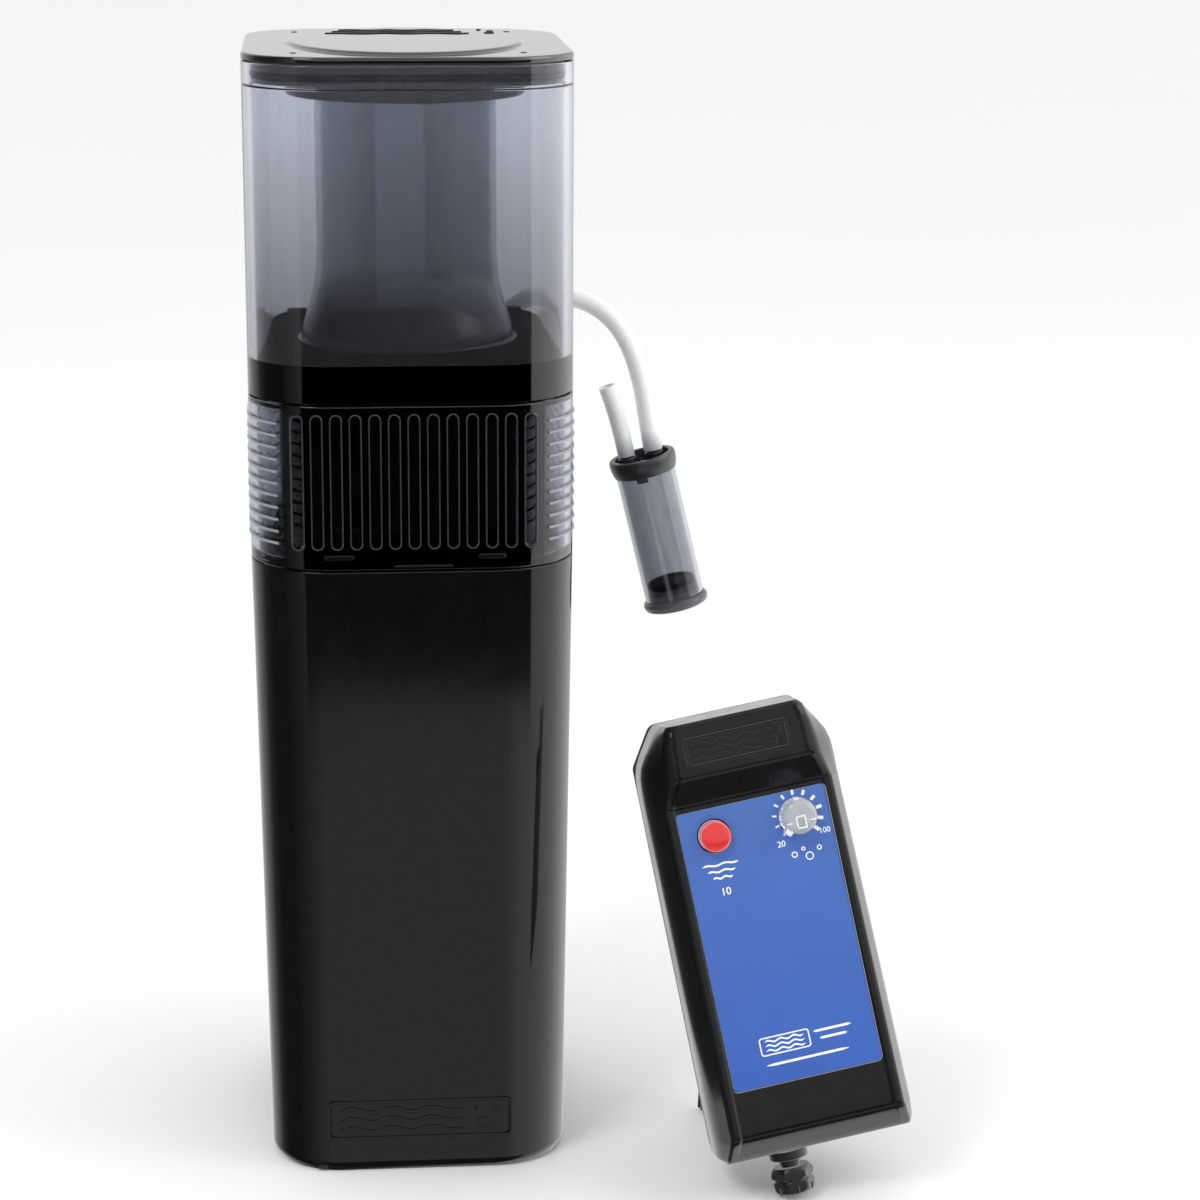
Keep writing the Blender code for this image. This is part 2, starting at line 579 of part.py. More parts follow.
def build_sockets(mats, place):
    """The power inlet and the cable gland under the controller."""
    low = CASE_Z[0]
    inlet = turned([(2.6, low + 6.5), (2.6, low - 0.5), (5.2, low - 0.5), (5.2, low + 8.5)], 32)
    make("power_inlet", moved(inlet, shift(*INLET)), mats["black"], place)
    centre = shift(*GLAND)
    make("gland_body", moved(turned([(5.6, low - 0.3), (5.6, low - 3), (2.7, low - 3.3), (2.7, low - 5.7)], 32), centre),
         mats["black"], place)
    top, tip = low - 5.2, low - 12.9
    nut = [(ring_points(3.2, count=24), top), (hexagon(5.6), top), (hexagon(6.2), top - 0.9),
           (hexagon(6.2), tip + 0.8), (ring_points(5.2, count=24), tip), (ring_points(3.2, count=24), tip)]
    make("gland_nut", moved(loft(nut, closed=True), centre), mats["black"], place, smooth=False)
    make("gland_seal", moved(turned([(2.9, top - 1), (2.9, tip + 0.8)], 20), centre), mats["rubber"], place)


def build_stand(mats, place):
    """The round base on the back and the leg that folds out of it, which stays level with the floor."""
    y, z = STAND_PIVOT
    level = place @ Matrix.Translation((0, y, z)) @ Matrix.Rotation(math.radians(-CONTROLLER_ROLL), 4, "Y")
    disc = along_y(turned([(STAND_HALF + 6, BACK_Y + 2.7 - y), (STAND_HALF + 6, BACK_Y + 4.4 - y)], 40))
    base = make("stand_base", disc, mats["black"], level)
    ears = [block((side * (STAND_HALF + 2.4) - 2, BACK_Y + 3.4 - y, -3), (side * (STAND_HALF + 2.4) + 2, 2.6, 3))
            for side in (-1, 1)]
    shape(base, "UNION", joined(*ears), level)

    hinge = level @ Matrix.Rotation(math.radians(STAND_ANGLE), 4, "X")
    stand = make("stand", block((-STAND_HALF, -1.2, -STAND_LENGTH), (STAND_HALF, 1.2, 0), 0.8),
                 mats["black"], hinge)
    barrel = turned([(2.2, -STAND_HALF), (2.2, STAND_HALF)], 20)
    shape(stand, "UNION", moved(barrel, Matrix.Rotation(math.radians(90), 4, "Y")), hinge)


def main():
    """Build the whole skimmer."""
    clear_scene()
    mats = {
        "black": material("black_plastic", (0.012, 0.012, 0.014), 0.18),
        "grey": material("grey_plastic", (0.25, 0.26, 0.28), 0.5),
        "white": material("white_ceramic", (0.85, 0.85, 0.82), 0.35),
        "smoke": material("smoked_plastic", (0.22, 0.25, 0.33), 0.08, alpha=0.45),
        "foam": material("filter_foam", (0.03, 0.03, 0.035), 0.95),
        "rubber": material("rubber", (0.02, 0.02, 0.02), 0.8),
        "steel": material("steel", (0.6, 0.6, 0.62), 0.3, metallic=1.0),
        "silicone": material("silicone_hose", (0.82, 0.84, 0.82), 0.35, alpha=0.7),
        "frost": material("frosted_plastic", (0.6, 0.63, 0.66), 0.2, alpha=0.5),
        "blue": material("blue_panel", (0.06, 0.13, 0.48), 0.35),
        "red": material("red_button", (0.6, 0.01, 0.01), 0.25),
        "clear": material("clear_knob", (0.7, 0.75, 0.85), 0.08, alpha=0.5),
        "board": material("circuit_board", (0.02, 0.2, 0.06), 0.4),
    }
    build_housing(mats)
    build_magnet_mount(mats)
    build_ring(mats)
    build_cup(mats)
    build_chamber(mats)
    build_pump(mats)
    build_silencer(mats)
    build_controller(mats)


main()
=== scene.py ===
"""Visual model of a protein skimmer for an aquarium.

The column with its cup, the air line with its silencer, and the speed controller.
Shapes are drawn in millimetres in the frame of the CAD model and scaled to metres when a piece is made.
"""

import json
import math

import bmesh
import bpy
from mathutils import Matrix, Vector

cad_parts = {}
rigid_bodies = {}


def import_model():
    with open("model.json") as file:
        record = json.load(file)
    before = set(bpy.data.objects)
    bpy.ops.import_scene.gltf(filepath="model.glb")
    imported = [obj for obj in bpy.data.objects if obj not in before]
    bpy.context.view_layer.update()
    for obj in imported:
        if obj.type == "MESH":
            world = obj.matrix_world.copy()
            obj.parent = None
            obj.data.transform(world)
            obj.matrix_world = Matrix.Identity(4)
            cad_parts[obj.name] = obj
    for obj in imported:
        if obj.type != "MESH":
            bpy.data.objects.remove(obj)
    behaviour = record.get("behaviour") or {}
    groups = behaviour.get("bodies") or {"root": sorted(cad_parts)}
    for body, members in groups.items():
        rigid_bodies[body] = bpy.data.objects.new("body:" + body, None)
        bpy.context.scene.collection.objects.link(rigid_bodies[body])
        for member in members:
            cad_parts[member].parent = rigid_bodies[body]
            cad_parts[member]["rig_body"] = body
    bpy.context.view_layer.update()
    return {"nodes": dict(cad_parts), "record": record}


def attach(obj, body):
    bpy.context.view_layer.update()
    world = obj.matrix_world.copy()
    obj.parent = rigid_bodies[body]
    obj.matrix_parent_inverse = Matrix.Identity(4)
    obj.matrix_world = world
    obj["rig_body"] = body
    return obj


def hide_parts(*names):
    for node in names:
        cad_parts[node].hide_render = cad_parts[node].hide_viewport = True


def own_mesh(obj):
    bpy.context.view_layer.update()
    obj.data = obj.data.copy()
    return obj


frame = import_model()

MM = 0.001

# Column: half width, half depth and corner radius at the foot, and from the rim upwards
FOOT = (43.3, 52.6, 21.2)
RIM = (46.0, 55.0, 24.0)
WALL = 2.2
FLOOR = 3.0
RIM_Z = 182.0
SEAM_Z = 229.3
LID_Z = 322.0
TOP_Z = 325.0
DECK_Z = 236.4
CUP_FLOOR_Z = 237.6
GAP = 0.3

# The air line, as in the CAD source
AIRLINE_ROUTE = ((24, 60.5, 184.3), (24, 60.5, 200), (24.6, 60.4, 217), (28, 60, 229.5), (36, 59, 238.2),
                 (45.5, 57.8, 241.8), (54.4, 56.6, 241.1), (61.4, 55.4, 238), (67.1, 54.2, 232.6),
                 (71.4, 53.2, 224.8), (74.5, 52.5, 214.4), (76.4, 52.1, 203.2), (78.08, 52, 194.1))
STUB_ROUTE = ((69.72, 52, 192.1), (68.3, 51.9, 198.4), (66.1, 51.6, 206.4), (63.4, 51.3, 214.4))
HOSE_RADIUS = 3.0

SILENCER = Matrix.Translation((74.4, 52.0, 192.3)) @ Matrix.Rotation(math.radians(-13.5), 4, "Y")
CONTROLLER = (Matrix.Translation((102.4, -61.6, 71.95)) @ Matrix.Rotation(math.radians(-14), 4, "X")
              @ Matrix.Rotation(math.radians(-11.2), 4, "Y"))


# ---------------------------------------------------------------- camera, floor and light

def add_camera():
    """The camera, standing where the photographer stood."""
    pitch, yaw, roll = 0.24935, 0.09047, -0.00515
    forward = Vector((math.sin(yaw) * math.cos(pitch), math.cos(yaw) * math.cos(pitch), -math.sin(pitch)))
    level = Vector((math.cos(yaw), -math.sin(yaw), 0))
    above = level.cross(forward)
    right = level * math.cos(roll) - above * math.sin(roll)
    up = level * math.sin(roll) + above * math.cos(roll)
    data = bpy.data.cameras.new("camera")
    data.sensor_width, data.lens = 36.0, 94.74
    data.clip_start, data.clip_end = 0.05, 100
    camera = bpy.data.objects.new("camera", data)
    turn = Matrix((right, up, -forward)).transposed().to_4x4()
    camera.matrix_world = Matrix.Translation((-0.02603, -0.91404, 0.39254)) @ turn
    bpy.context.collection.objects.link(camera)
    bpy.context.scene.camera = camera


def add_floor():
    """A pale floor that fills the view. The black gloss reflects the studio and not the floor."""
    bm = bmesh.new()
    bmesh.ops.create_grid(bm, x_segments=8, y_segments=8, size=20)
    mesh = bpy.data.meshes.new("studio_floor")
    bm.to_mesh(mesh)
    bm.free()
    mesh.materials.append(surface("studio_floor", (0.9, 0.9, 0.9), 0.6, scale=3, variation=0.003, depth=0))
    obj = bpy.data.objects.new("studio_floor", mesh)
    bpy.context.collection.objects.link(obj)
    obj.visible_glossy = False


def add_light():
    """Soft studio light, and the panels and flags that the gloss reflects."""
    scene = bpy.context.scene
    scene.view_settings.view_transform = "Standard"
    world = bpy.data.worlds.new("studio")
    scene.world = world
    world.use_nodes = True
    tree = world.node_tree
    tree.nodes.clear()
    net = Net(tree)
    way = net.add("ShaderNodeTexCoord").outputs["Generated"]
    x, y, z = net.split(way)
    azimuth = net.math("ARCTAN2", x, net.math("MULTIPLY", y, -1.0))
    turn = net.range(azimuth, -math.pi, math.pi, 0, 1)
    # degrees round from the front, and the brightness that the gloss sees there
    panels = ((-180, 0.95), (-150, 0.95), (-128, 0.7), (-115, 0.22), (-100, 0.08), (-74, 0.09), (-53, 0.35),
              (-33, 0.72), (-20, 0.95), (20, 1.0), (40, 1.6), (62, 1.8), (86, 2.1), (114, 2.2), (134, 1.75),
              (155, 0.95), (180, 0.95))
    brightest = max(value for _, value in panels)
    around = net.ramp(turn, [((angle + 180) / 360, value / brightest) for angle, value in panels])
    around = net.math("MULTIPLY", around, brightest)
    # one black flag ahead at eye level and one below it, as the front of the column shows them
    rise = net.math("MULTIPLY", net.math("ARCSINE", z), 180 / math.pi)
    degrees = net.math("MULTIPLY", azimuth, 180 / math.pi)
    ahead = net.math("MULTIPLY", net.range(degrees, -44, -42, 0, 1), net.range(degrees, 56, 58, 1, 0))
    dark = net.math("MULTIPLY", net.range(rise, -17.6, -17.2, 0, 1), net.range(rise, -1, 3, 1, 0))
    under = net.range(rise, -40, -33, 0.9, 0)
    flag = net.math("MULTIPLY", ahead, net.math("MAXIMUM", dark, under))
    seen = net.math("MULTIPLY", around, net.math("SUBTRACT", 1.0, flag))
    glossy = net.add("ShaderNodeLightPath").outputs["Is Glossy Ray"]
    strength = net.mix(glossy, 1.0, seen)
    back = net.add("ShaderNodeBackground", Color=(1, 1, 1, 1))
    tree.links.new(strength, back.inputs["Strength"])
    out = net.add("ShaderNodeOutputWorld")
    tree.links.new(back.outputs[0], out.inputs["Surface"])
    for name, place, size, power in (("key", (-0.7, -0.8, 1.3), 0.5, 7.0), ("fill", (1.1, -0.3, 1.0), 0.8, 5.0)):
        data = bpy.data.lights.new(name, "AREA")
        data.size, data.energy = size, power
        lamp = bpy.data.objects.new(name, data)
        lamp.location = place
        lamp.rotation_mode = "QUATERNION"
        lamp.rotation_quaternion = (Vector((0, 0, 0.15)) - lamp.location).to_track_quat("-Z", "Y")
        bpy.context.collection.objects.link(lamp)


# ---------------------------------------------------------------- materials

class Net:
    """Short ways to add nodes to a tree."""

    def __init__(self, tree):
        self.tree = tree

    def add(self, kind, **values):
        node = self.tree.nodes.new(kind)
        for name, value in values.items():
            node.inputs[name.replace("_", " ")].default_value = value
        return node

    def feed(self, socket, value):
        if isinstance(value, (int, float)):
            socket.default_value = value
        else:
            self.tree.links.new(value, socket)

    def math(self, operation, a, b=0.0):
        node = self.add("ShaderNodeMath")
        node.operation = operation
        self.feed(node.inputs[0], a)
        self.feed(node.inputs[1], b)
        return node.outputs[0]

    def split(self, vector):
        node = self.add("ShaderNodeSeparateXYZ")
        self.tree.links.new(vector, node.inputs[0])
        return node.outputs

    def range(self, value, low, high, to_low, to_high):
        node = self.add("ShaderNodeMapRange")
        for socket, item in zip(node.inputs, (value, low, high, to_low, to_high)):
            self.feed(socket, item)
        return node.outputs[0]

    def ramp(self, value, stops):
        node = self.add("ShaderNodeValToRGB")
        self.tree.links.new(value, node.inputs[0])
        points = node.color_ramp.elements
        while len(points) < len(stops):
            points.new(0.5)
        for point, (place, level) in zip(points, stops):
            point.position = place
            point.color = (level, level, level, 1) if isinstance(level, (int, float)) else (*level, 1)
        return node.outputs[0]

    def mix(self, part, a, b):
        node = self.add("ShaderNodeMix")
        for socket, item in zip(node.inputs, (part, None, a, b)):
            if item is not None:
                self.feed(socket, item)
        return node.outputs[0]

    def blend(self, part, a, b):
        node = self.add("ShaderNodeMix")
        node.data_type = "RGBA"
        self.feed(node.inputs[0], part)
        for socket, colour in ((node.inputs[6], a), (node.inputs[7], b)):
            if isinstance(colour, tuple):
                socket.default_value = (*colour, 1)
            else:
                self.tree.links.new(colour, socket)
        return node.outputs[2]

    def noise(self, scale, detail=3.0, stretch=None):
        place = self.add("ShaderNodeTexCoord").outputs["Object"]
        if stretch:
            node = self.add("ShaderNodeMapping", Scale=stretch)
            self.tree.links.new(place, node.inputs["Vector"])
            place = node.outputs[0]
        node = self.add("ShaderNodeTexNoise", Scale=scale, Detail=detail)
        self.tree.links.new(place, node.inputs["Vector"])
        return node.outputs["Fac"]


def surface(name, colour, roughness, scale=300, variation=0.12, depth=0.02, grain=2500, waves=0.0,
            paint=None, **fixed):
    """A moulded surface: its colour and roughness vary a little, and its skin has a fine grain."""
    mat = bpy.data.materials.new(name)
    mat.use_nodes = True
    tree = mat.node_tree
    shader = tree.nodes["Principled BSDF"]
    net = Net(tree)
    broad = net.noise(scale, 4.0)
    darker = tuple(c * (1 - variation) for c in colour)
    lighter = tuple(min(c * (1 + variation), 1.0) for c in colour)
    tint = net.blend(net.range(broad, 0.3, 0.7, 0, 1), darker, lighter)
    if paint:
        tint = paint(net, tint)
    tree.links.new(tint, shader.inputs["Base Color"])
    smear = net.noise(scale * 0.35, 5.0, (1.0, 1.0, 0.35))
    tree.links.new(net.range(smear, 0.3, 0.75, roughness * 0.8, min(roughness * 1.35, 1.0)),
                   shader.inputs["Roughness"])
    if depth or waves:
        height = net.math("MULTIPLY", net.noise(grain, 2.0), depth)
        if waves:
            height = net.math("ADD", height, net.math("MULTIPLY", net.noise(45, 1.0), waves))
        bump = net.add("ShaderNodeBump", Strength=1.0, Distance=MM)
        tree.links.new(height, bump.inputs["Height"])
        tree.links.new(bump.outputs[0], shader.inputs["Normal"])
    for socket, value in fixed.items():
        shader.inputs[socket.replace("_", " ")].default_value = value
    return mat


def near(net, tint, place, reach, colour):
    """The tint, turning to another colour near a place in millimetres."""
    where = net.add("ShaderNodeTexCoord").outputs["Object"]
    node = net.add("ShaderNodeVectorMath")
    node.operation = "DISTANCE"
    net.tree.links.new(where, node.inputs[0])
    node.inputs[1].default_value = [v * MM for v in place]
    part = net.range(node.outputs["Value"], reach[0] * MM, reach[1] * MM, 1, 0)
    return net.blend(part, tint, colour)


def make_materials():
    """Every material, by name. The paints work in metres, in the frame of the CAD model."""
    def hose_ends(net, tint):
        for place in ((78.0, 52, 194.4), (69.6, 52, 192.4)):
            tint = near(net, tint, place, (1.5, 7.0), (0.42, 0.46, 0.52))
        return tint

    def place_of(net):
        return net.split(net.add("ShaderNodeTexCoord").outputs["Object"])

    def times(net, tint, factor):
        node = net.add("ShaderNodeVectorMath")
        node.operation = "SCALE"
        net.tree.links.new(tint, node.inputs[0])
        net.feed(node.inputs["Scale"], factor)
        return node.outputs[0]

    def within(net, value, half, soft):
        away = net.math("ABSOLUTE", value)
        return net.range(away, (half - soft) * MM, (half + soft) * MM, 1, 0)

    # Painted shade on the smoked cup, laid over its tint.
    def cup_painted_shade(net, tint):
        x, y, z = place_of(net)
        # painted shade: the smoked cup darkens towards its floor
        depth = net.range(z, 0.236, 0.303, 0.56, 1.0)
        # painted shade: darker upright bands either side of a lighter middle strip on the back wall
        away = net.math("ABSOLUTE", net.math("ADD", x, 0.0005))
        painted_shade_bands = net.ramp(net.range(away, 0, 0.03, 0, 1),
                         ((0.0, 1.0), (0.265, 1.0), (0.28, 0.66), (0.42, 0.76), (0.7, 1.0)))
        depth = net.math("MULTIPLY", depth, net.mix(net.range(y, 0.05, 0.051, 0, 1), 1.0, painted_shade_bands))
        # painted shade: the skirt below the cup floor, with the black ring lip and deck behind it, turns near black
        foot = net.math("MULTIPLY", within(net, x, 42.5, 0.6), net.range(z, 0.2385, 0.2395, 1, 0))
        return times(net, tint, net.mix(foot, depth, 0.05))

    # Painted shade on the riser: lighter on the left, darker on the right, and much darker towards its foot.
    def riser_painted_shade(net, tint):
        x, _, z = place_of(net)
        across = net.range(x, -0.026, 0.026, 1.05, 0.93)
        foot = net.range(z, 0.243, 0.258, 0.35, 1.0)
        return times(net, tint, net.math("MULTIPLY", across, foot))

    # Painted shade on the comb ring: its front turns near black between the corners and lightens round them, and the
    # rest is a little darker.
    def ring_painted_shade(net, tint):
        x, y, _ = place_of(net)
        front = net.range(y, -0.046, -0.044, 1, 0)
        away = net.math("ABSOLUTE", x)
        part = net.range(away, 0.0365, 0.0455, 0.35, 1.0)
        part = net.math("MULTIPLY", part, net.range(away, 0.0363, 0.0367, 0.06, 1.0))
        return times(net, tint, net.mix(front, 0.85, part))

    # Painted shade on the silencer tube: darker on its left side, towards the column.
    def tube_painted_shade(net, tint):
        x, _, z = place_of(net)
        across = net.math("ADD", net.math("MULTIPLY", net.math("SUBTRACT", x, 0.0744), 0.972),
                          net.math("MULTIPLY", net.math("SUBTRACT", z, 0.1923), 0.233))
        return times(net, tint, net.range(across, -0.0075, 0.002, 0.66, 1.0))

    def panel_paint(net, tint):
        part = net.range(place_of(net)[2], 0.035, 0.125, 0, 1)
        return net.blend(part, tint, (0.065, 0.145, 0.42))

    glass = {"Transmission_Weight": 1.0, "IOR": 1.47}
    return {
        "gloss": surface("black_gloss", (0.003, 0.0032, 0.0035), 0.07, variation=0.2, depth=0.0015, waves=0.012,
                         Specular_IOR_Level=0.27),
        "satin": surface("black_satin", (0.009, 0.0095, 0.0105), 0.3, variation=0.2, depth=0.006,
                         Specular_IOR_Level=0.42),
        "case": surface("controller_black", (0.005, 0.0058, 0.0064), 0.17, variation=0.2, depth=0.004, waves=0.01,
                        Specular_IOR_Level=0.26),
        "cap": surface("silencer_cap_black", (0.022, 0.022, 0.024), 0.34, variation=0.15, depth=0.008),
        "dark": surface("matt_black", (0.006, 0.006, 0.007), 0.5, variation=0.2, depth=0.01,
                        Specular_IOR_Level=0.25),
        # smoked_clear carries painted shade: darker towards the floor, upright bands on the back wall and a
        # near-black skirt
        "smoke": surface("smoked_clear", (0.69, 0.71, 0.775), 0.008, variation=0.02, depth=0.0, waves=0.004,
                         paint=cup_painted_shade, **glass),
        # smoked_riser carries painted shade: darker on the right and towards its foot
        "smoke_dark": surface("smoked_riser", (0.47, 0.485, 0.525), 0.008, variation=0.03, depth=0.0, waves=0.004,
                              paint=riser_painted_shade, **glass),
        "floor": surface("smoked_floor", (0.004, 0.0045, 0.005), 0.25, variation=0.2, depth=0.002,
                         Specular_IOR_Level=0.0),
        "lid": surface("lid_gloss", (0.003, 0.0032, 0.0035), 0.06, variation=0.2, depth=0.001, waves=0.006,
                       Specular_IOR_Level=0.9),
        # smoked_ring carries painted shade: a near-black front and a slightly darker back
        "ring": surface("smoked_ring", (0.5, 0.53, 0.6), 0.035, variation=0.04, depth=0.001, waves=0.004,
                        paint=ring_painted_shade, **glass),
        "ridge": surface("grip_ridge", (0.42, 0.44, 0.5), 0.12, variation=0.06, depth=0.002,
                         Transmission_Weight=0.5, IOR=1.47),
        "bead": surface("slot_bead", (0.02, 0.021, 0.023), 0.2, variation=0.15, depth=0.002),
        # silencer_smoke carries painted shade: darker on its left side
        "frost": surface("silencer_smoke", (0.48, 0.50, 0.54), 0.06, variation=0.05, depth=0.001, waves=0.004,
                         paint=tube_painted_shade, **glass),
        "frost_dark": surface("silencer_foot", (0.16, 0.165, 0.18), 0.16, variation=0.08, depth=0.002,
                              Transmission_Weight=0.75, IOR=1.47),
        "silicone": surface("silicone_hose", (0.93, 0.945, 0.93), 0.3, variation=0.015, depth=0.003,
                            paint=hose_ends, Subsurface_Weight=0.35, Subsurface_Scale=0.003,
                            Subsurface_Radius=(1, 1, 1), IOR=1.41),
        "foam": surface("filter_foam", (0.02, 0.021, 0.023), 0.95, scale=900, variation=0.6, depth=0.5, grain=900),
        "rubber": surface("rubber", (0.014, 0.014, 0.015), 0.75, variation=0.25, depth=0.02),
        "steel": surface("steel", (0.55, 0.55, 0.56), 0.28, variation=0.08, depth=0.003, Metallic=1.0),
        "grey": surface("grey_plastic", (0.2, 0.205, 0.215), 0.45, variation=0.1, depth=0.01),
        "white": surface("white_ceramic", (0.72, 0.72, 0.69), 0.35, variation=0.04, depth=0.004),
        "board": surface("circuit_board", (0.012, 0.11, 0.035), 0.4, variation=0.25, depth=0.01),
        "panel": surface("blue_panel", (0.035, 0.105, 0.42), 0.3, scale=60, variation=0.05, depth=0.002,
                         paint=panel_paint, Specular_IOR_Level=0.3),
        "print": surface("white_print", (0.82, 0.84, 0.86), 0.45, variation=0.03, depth=0.002),
        "red": surface("red_button", (0.62, 0.018, 0.02), 0.25, variation=0.06, depth=0.003, Subsurface_Weight=0.1,
                       Subsurface_Scale=0.002, Coat_Weight=0.4, Coat_Roughness=0.1),
        "bezel": surface("button_rim", (0.72, 0.16, 0.17), 0.35, variation=0.06, depth=0.003),
        "clear": surface("clear_knob", (0.86, 0.89, 0.93), 0.1, variation=0.04, depth=0.006, waves=0.02,
                         Transmission_Weight=0.72, IOR=1.47),
        "milky": surface("knob_frame", (0.8, 0.82, 0.85), 0.25, variation=0.05, depth=0.003,
                         Transmission_Weight=0.15, IOR=1.45),
    }


# ---------------------------------------------------------------- outlines and meshes

def round_about(count):
    """The cosine and sine of even steps round a circle."""
    return [(math.cos(2 * math.pi * k / count), math.sin(2 * math.pi * k / count)) for k in range(count)]


def rounded_box(half_x, half_y, radius, corner, side):
    """Places and outward directions round a rounded rectangle, from the front right corner."""
    arcs = []
    for index, (sx, sy) in enumerate(((1, -1), (1, 1), (-1, 1), (-1, -1))):
        centre = Vector((sx * (half_x - radius), sy * (half_y - radius)))
        for step in range(corner + 1):
            angle = math.radians(90 * (index - 1) + 90 * step / corner)
            out = Vector((math.cos(angle), math.sin(angle)))
            arcs.append((centre + radius * out, out))
    full = []
    for index, (place, out) in enumerate(arcs):
        full.append((place, out))
        if index % (corner + 1) == corner:
            after = arcs[(index + 1) % len(arcs)][0]
            full += [(place.lerp(after, k / side), out) for k in range(1, side)]
    return full


def column_size(z):
    """Half width, half depth and corner radius of the column at a height."""
    part = min(max(z / RIM_Z, 0.0), 1.0)
    return [low + (high - low) * part for low, high in zip(FOOT, RIM)]


def column(z, inset=0.0, corner=20, side=3):
    """The column's outline at a height, as 3-D points."""
    half_x, half_y, radius = (size - inset for size in column_size(z))
    return [Vector((*p, z)) for p, _ in rounded_box(half_x, half_y, max(radius, 1.0), corner, side)]


def level(ring, z):
    """An outline, moved to a height."""
    for point in ring:
        point.z = z
    return ring


def boxy(half_x, half_y, radius, z, corner=20, side=3):
    """A rounded rectangle at a height."""
    return [Vector((*p, z)) for p, _ in rounded_box(half_x, half_y, radius, corner, side)]


def circle(radius, z, radius_y=None, corner=20, side=3):
    """A circle or oval at a height, in step with the outlines of the column."""
    count = 4 * (corner + side)
    start = -45 - 360 / count * corner / 2
    angles = [math.radians(start + 360 * k / count) for k in range(count)]
    return [Vector((radius * math.cos(a), (radius_y or radius) * math.sin(a), z)) for a in angles]


def soften(path, closed=False, steps=4):
    """A path of (across, up, rounding) points, with its corners rounded."""
    line = []
    for index, point in enumerate(path):
        here, cut = Vector(point[:2]), (point[2] if len(point) > 2 else 0)
        if not cut or (not closed and index in (0, len(path) - 1)):
            line.append(here)
            continue
        before, after = Vector(path[index - 1][:2]), Vector(path[(index + 1) % len(path)][:2])
        start = here + (before - here).normalized() * cut
        end = here + (after - here).normalized() * cut
        for step in range(steps + 1):
            t = step / steps
            line.append(start * (1 - t) ** 2 + here * 2 * t * (1 - t) + end * t * t)
    return line


def loft(rings, closed=False):
    """A solid through rings of equally many points."""
    bm = bmesh.new()
    rows = [[bm.verts.new(p) for p in ring] for ring in rings]
    pairs = list(zip(rows, rows[1:]))
    if closed:
        pairs.append((rows[-1], rows[0]))
    for low, high in pairs:
        for k in range(len(low)):
            after = (k + 1) % len(low)
            bm.faces.new((low[k], low[after], high[after], high[k]))
    if not closed:
        bm.faces.new(reversed(rows[0]))
        bm.faces.new(rows[-1])
    bmesh.ops.recalc_face_normals(bm, faces=bm.faces)
    return bm


def turned(path, count=64, closed=False, steps=4):
    """A solid of revolution about Z from (radius, height, rounding) points."""
    return loft([[Vector((radius * c, radius * s, z)) for c, s in round_about(count)]
                 for radius, z in soften(path, closed, steps)], closed)


def block(low, high, bevel=0.0, segments=3):
    """A box between two corners, with round edges."""
    bm = bmesh.new()
    bmesh.ops.create_cube(bm, size=1.0)
    size, middle = Vector(high) - Vector(low), (Vector(high) + Vector(low)) / 2
    bm.transform(Matrix.Translation(middle) @ Matrix.Diagonal((*size, 1)))
    if bevel:
        bmesh.ops.bevel(bm, geom=bm.edges, offset=bevel, segments=segments, profile=0.5, affect="EDGES")
    return bm


def moved(bm, matrix):
    """The same mesh, moved."""
    bm.transform(matrix)
    return bm


def shift(x, y, z=0.0):
    """A move as a matrix."""
    return Matrix.Translation((x, y, z))


def along_y(bm, x=0.0, z=0.0):
    """A turned solid laid along Y."""
    return moved(bm, shift(x, 0, z) @ Matrix.Rotation(math.radians(-90), 4, "X"))


def joined(*parts):
    """Several meshes as one."""
    whole = bmesh.new()
    for part in parts:
        mesh = bpy.data.meshes.new("part")
        part.to_mesh(mesh)
        part.free()
        whole.from_mesh(mesh)
        bpy.data.meshes.remove(mesh)
    return whole


def tube(line, radius, count=24, wall=0.0):
    """A round tube along points, solid or with a wall."""
    rings, turn = [], None
    for index, place in enumerate(line):
        way = (line[min(index + 1, len(line) - 1)] - line[max(index - 1, 0)]).normalized()
        if turn is None:
            turn = way.to_track_quat("Z", "Y")
        else:
            turn = (turn @ Vector((0, 0, 1))).rotation_difference(way) @ turn
        rings.append((place, turn))

    def ring(index, size):
        place, spin = rings[index]
        return [place + spin @ Vector((size * c, size * s, 0)) for c, s in round_about(count)]
    outer = [ring(k, radius) for k in range(len(line))]
    if not wall:
        return loft(outer)
    inner = [ring(k, radius - wall) for k in reversed(range(len(line)))]
    return loft(outer + inner, closed=True)


def smooth_line(route, count):
    """Evenly spaced points on a Catmull-Rom curve through a route."""
    route = [Vector(p) for p in route]
    ends = [route[0] * 2 - route[1]] + route + [route[-1] * 2 - route[-2]]
    fine = []
    for a, b, c, d in zip(ends, ends[1:], ends[2:], ends[3:]):
        for k in range(20):
            t = k / 20
            fine.append(0.5 * (2 * b + (c - a) * t + (2 * a - 5 * b + 4 * c - d) * t ** 2
                               + (3 * b - a - 3 * c + d) * t ** 3))
    fine.append(route[-1])
    lengths = [0.0]
    for before, after in zip(fine, fine[1:]):
        lengths.append(lengths[-1] + (after - before).length)
    line, index = [], 0
    for k in range(count + 1):
        target = lengths[-1] * k / count
        while index < len(fine) - 2 and lengths[index + 1] < target:
            index += 1
        part = (target - lengths[index]) / (lengths[index + 1] - lengths[index])
        line.append(fine[index].lerp(fine[index + 1], part))
    return line


def shade(mesh, angle):
    """Smooth faces, with edges sharper than an angle kept."""
    mesh.shade_smooth()
    mesh.set_sharp_from_angle(angle=math.radians(angle))


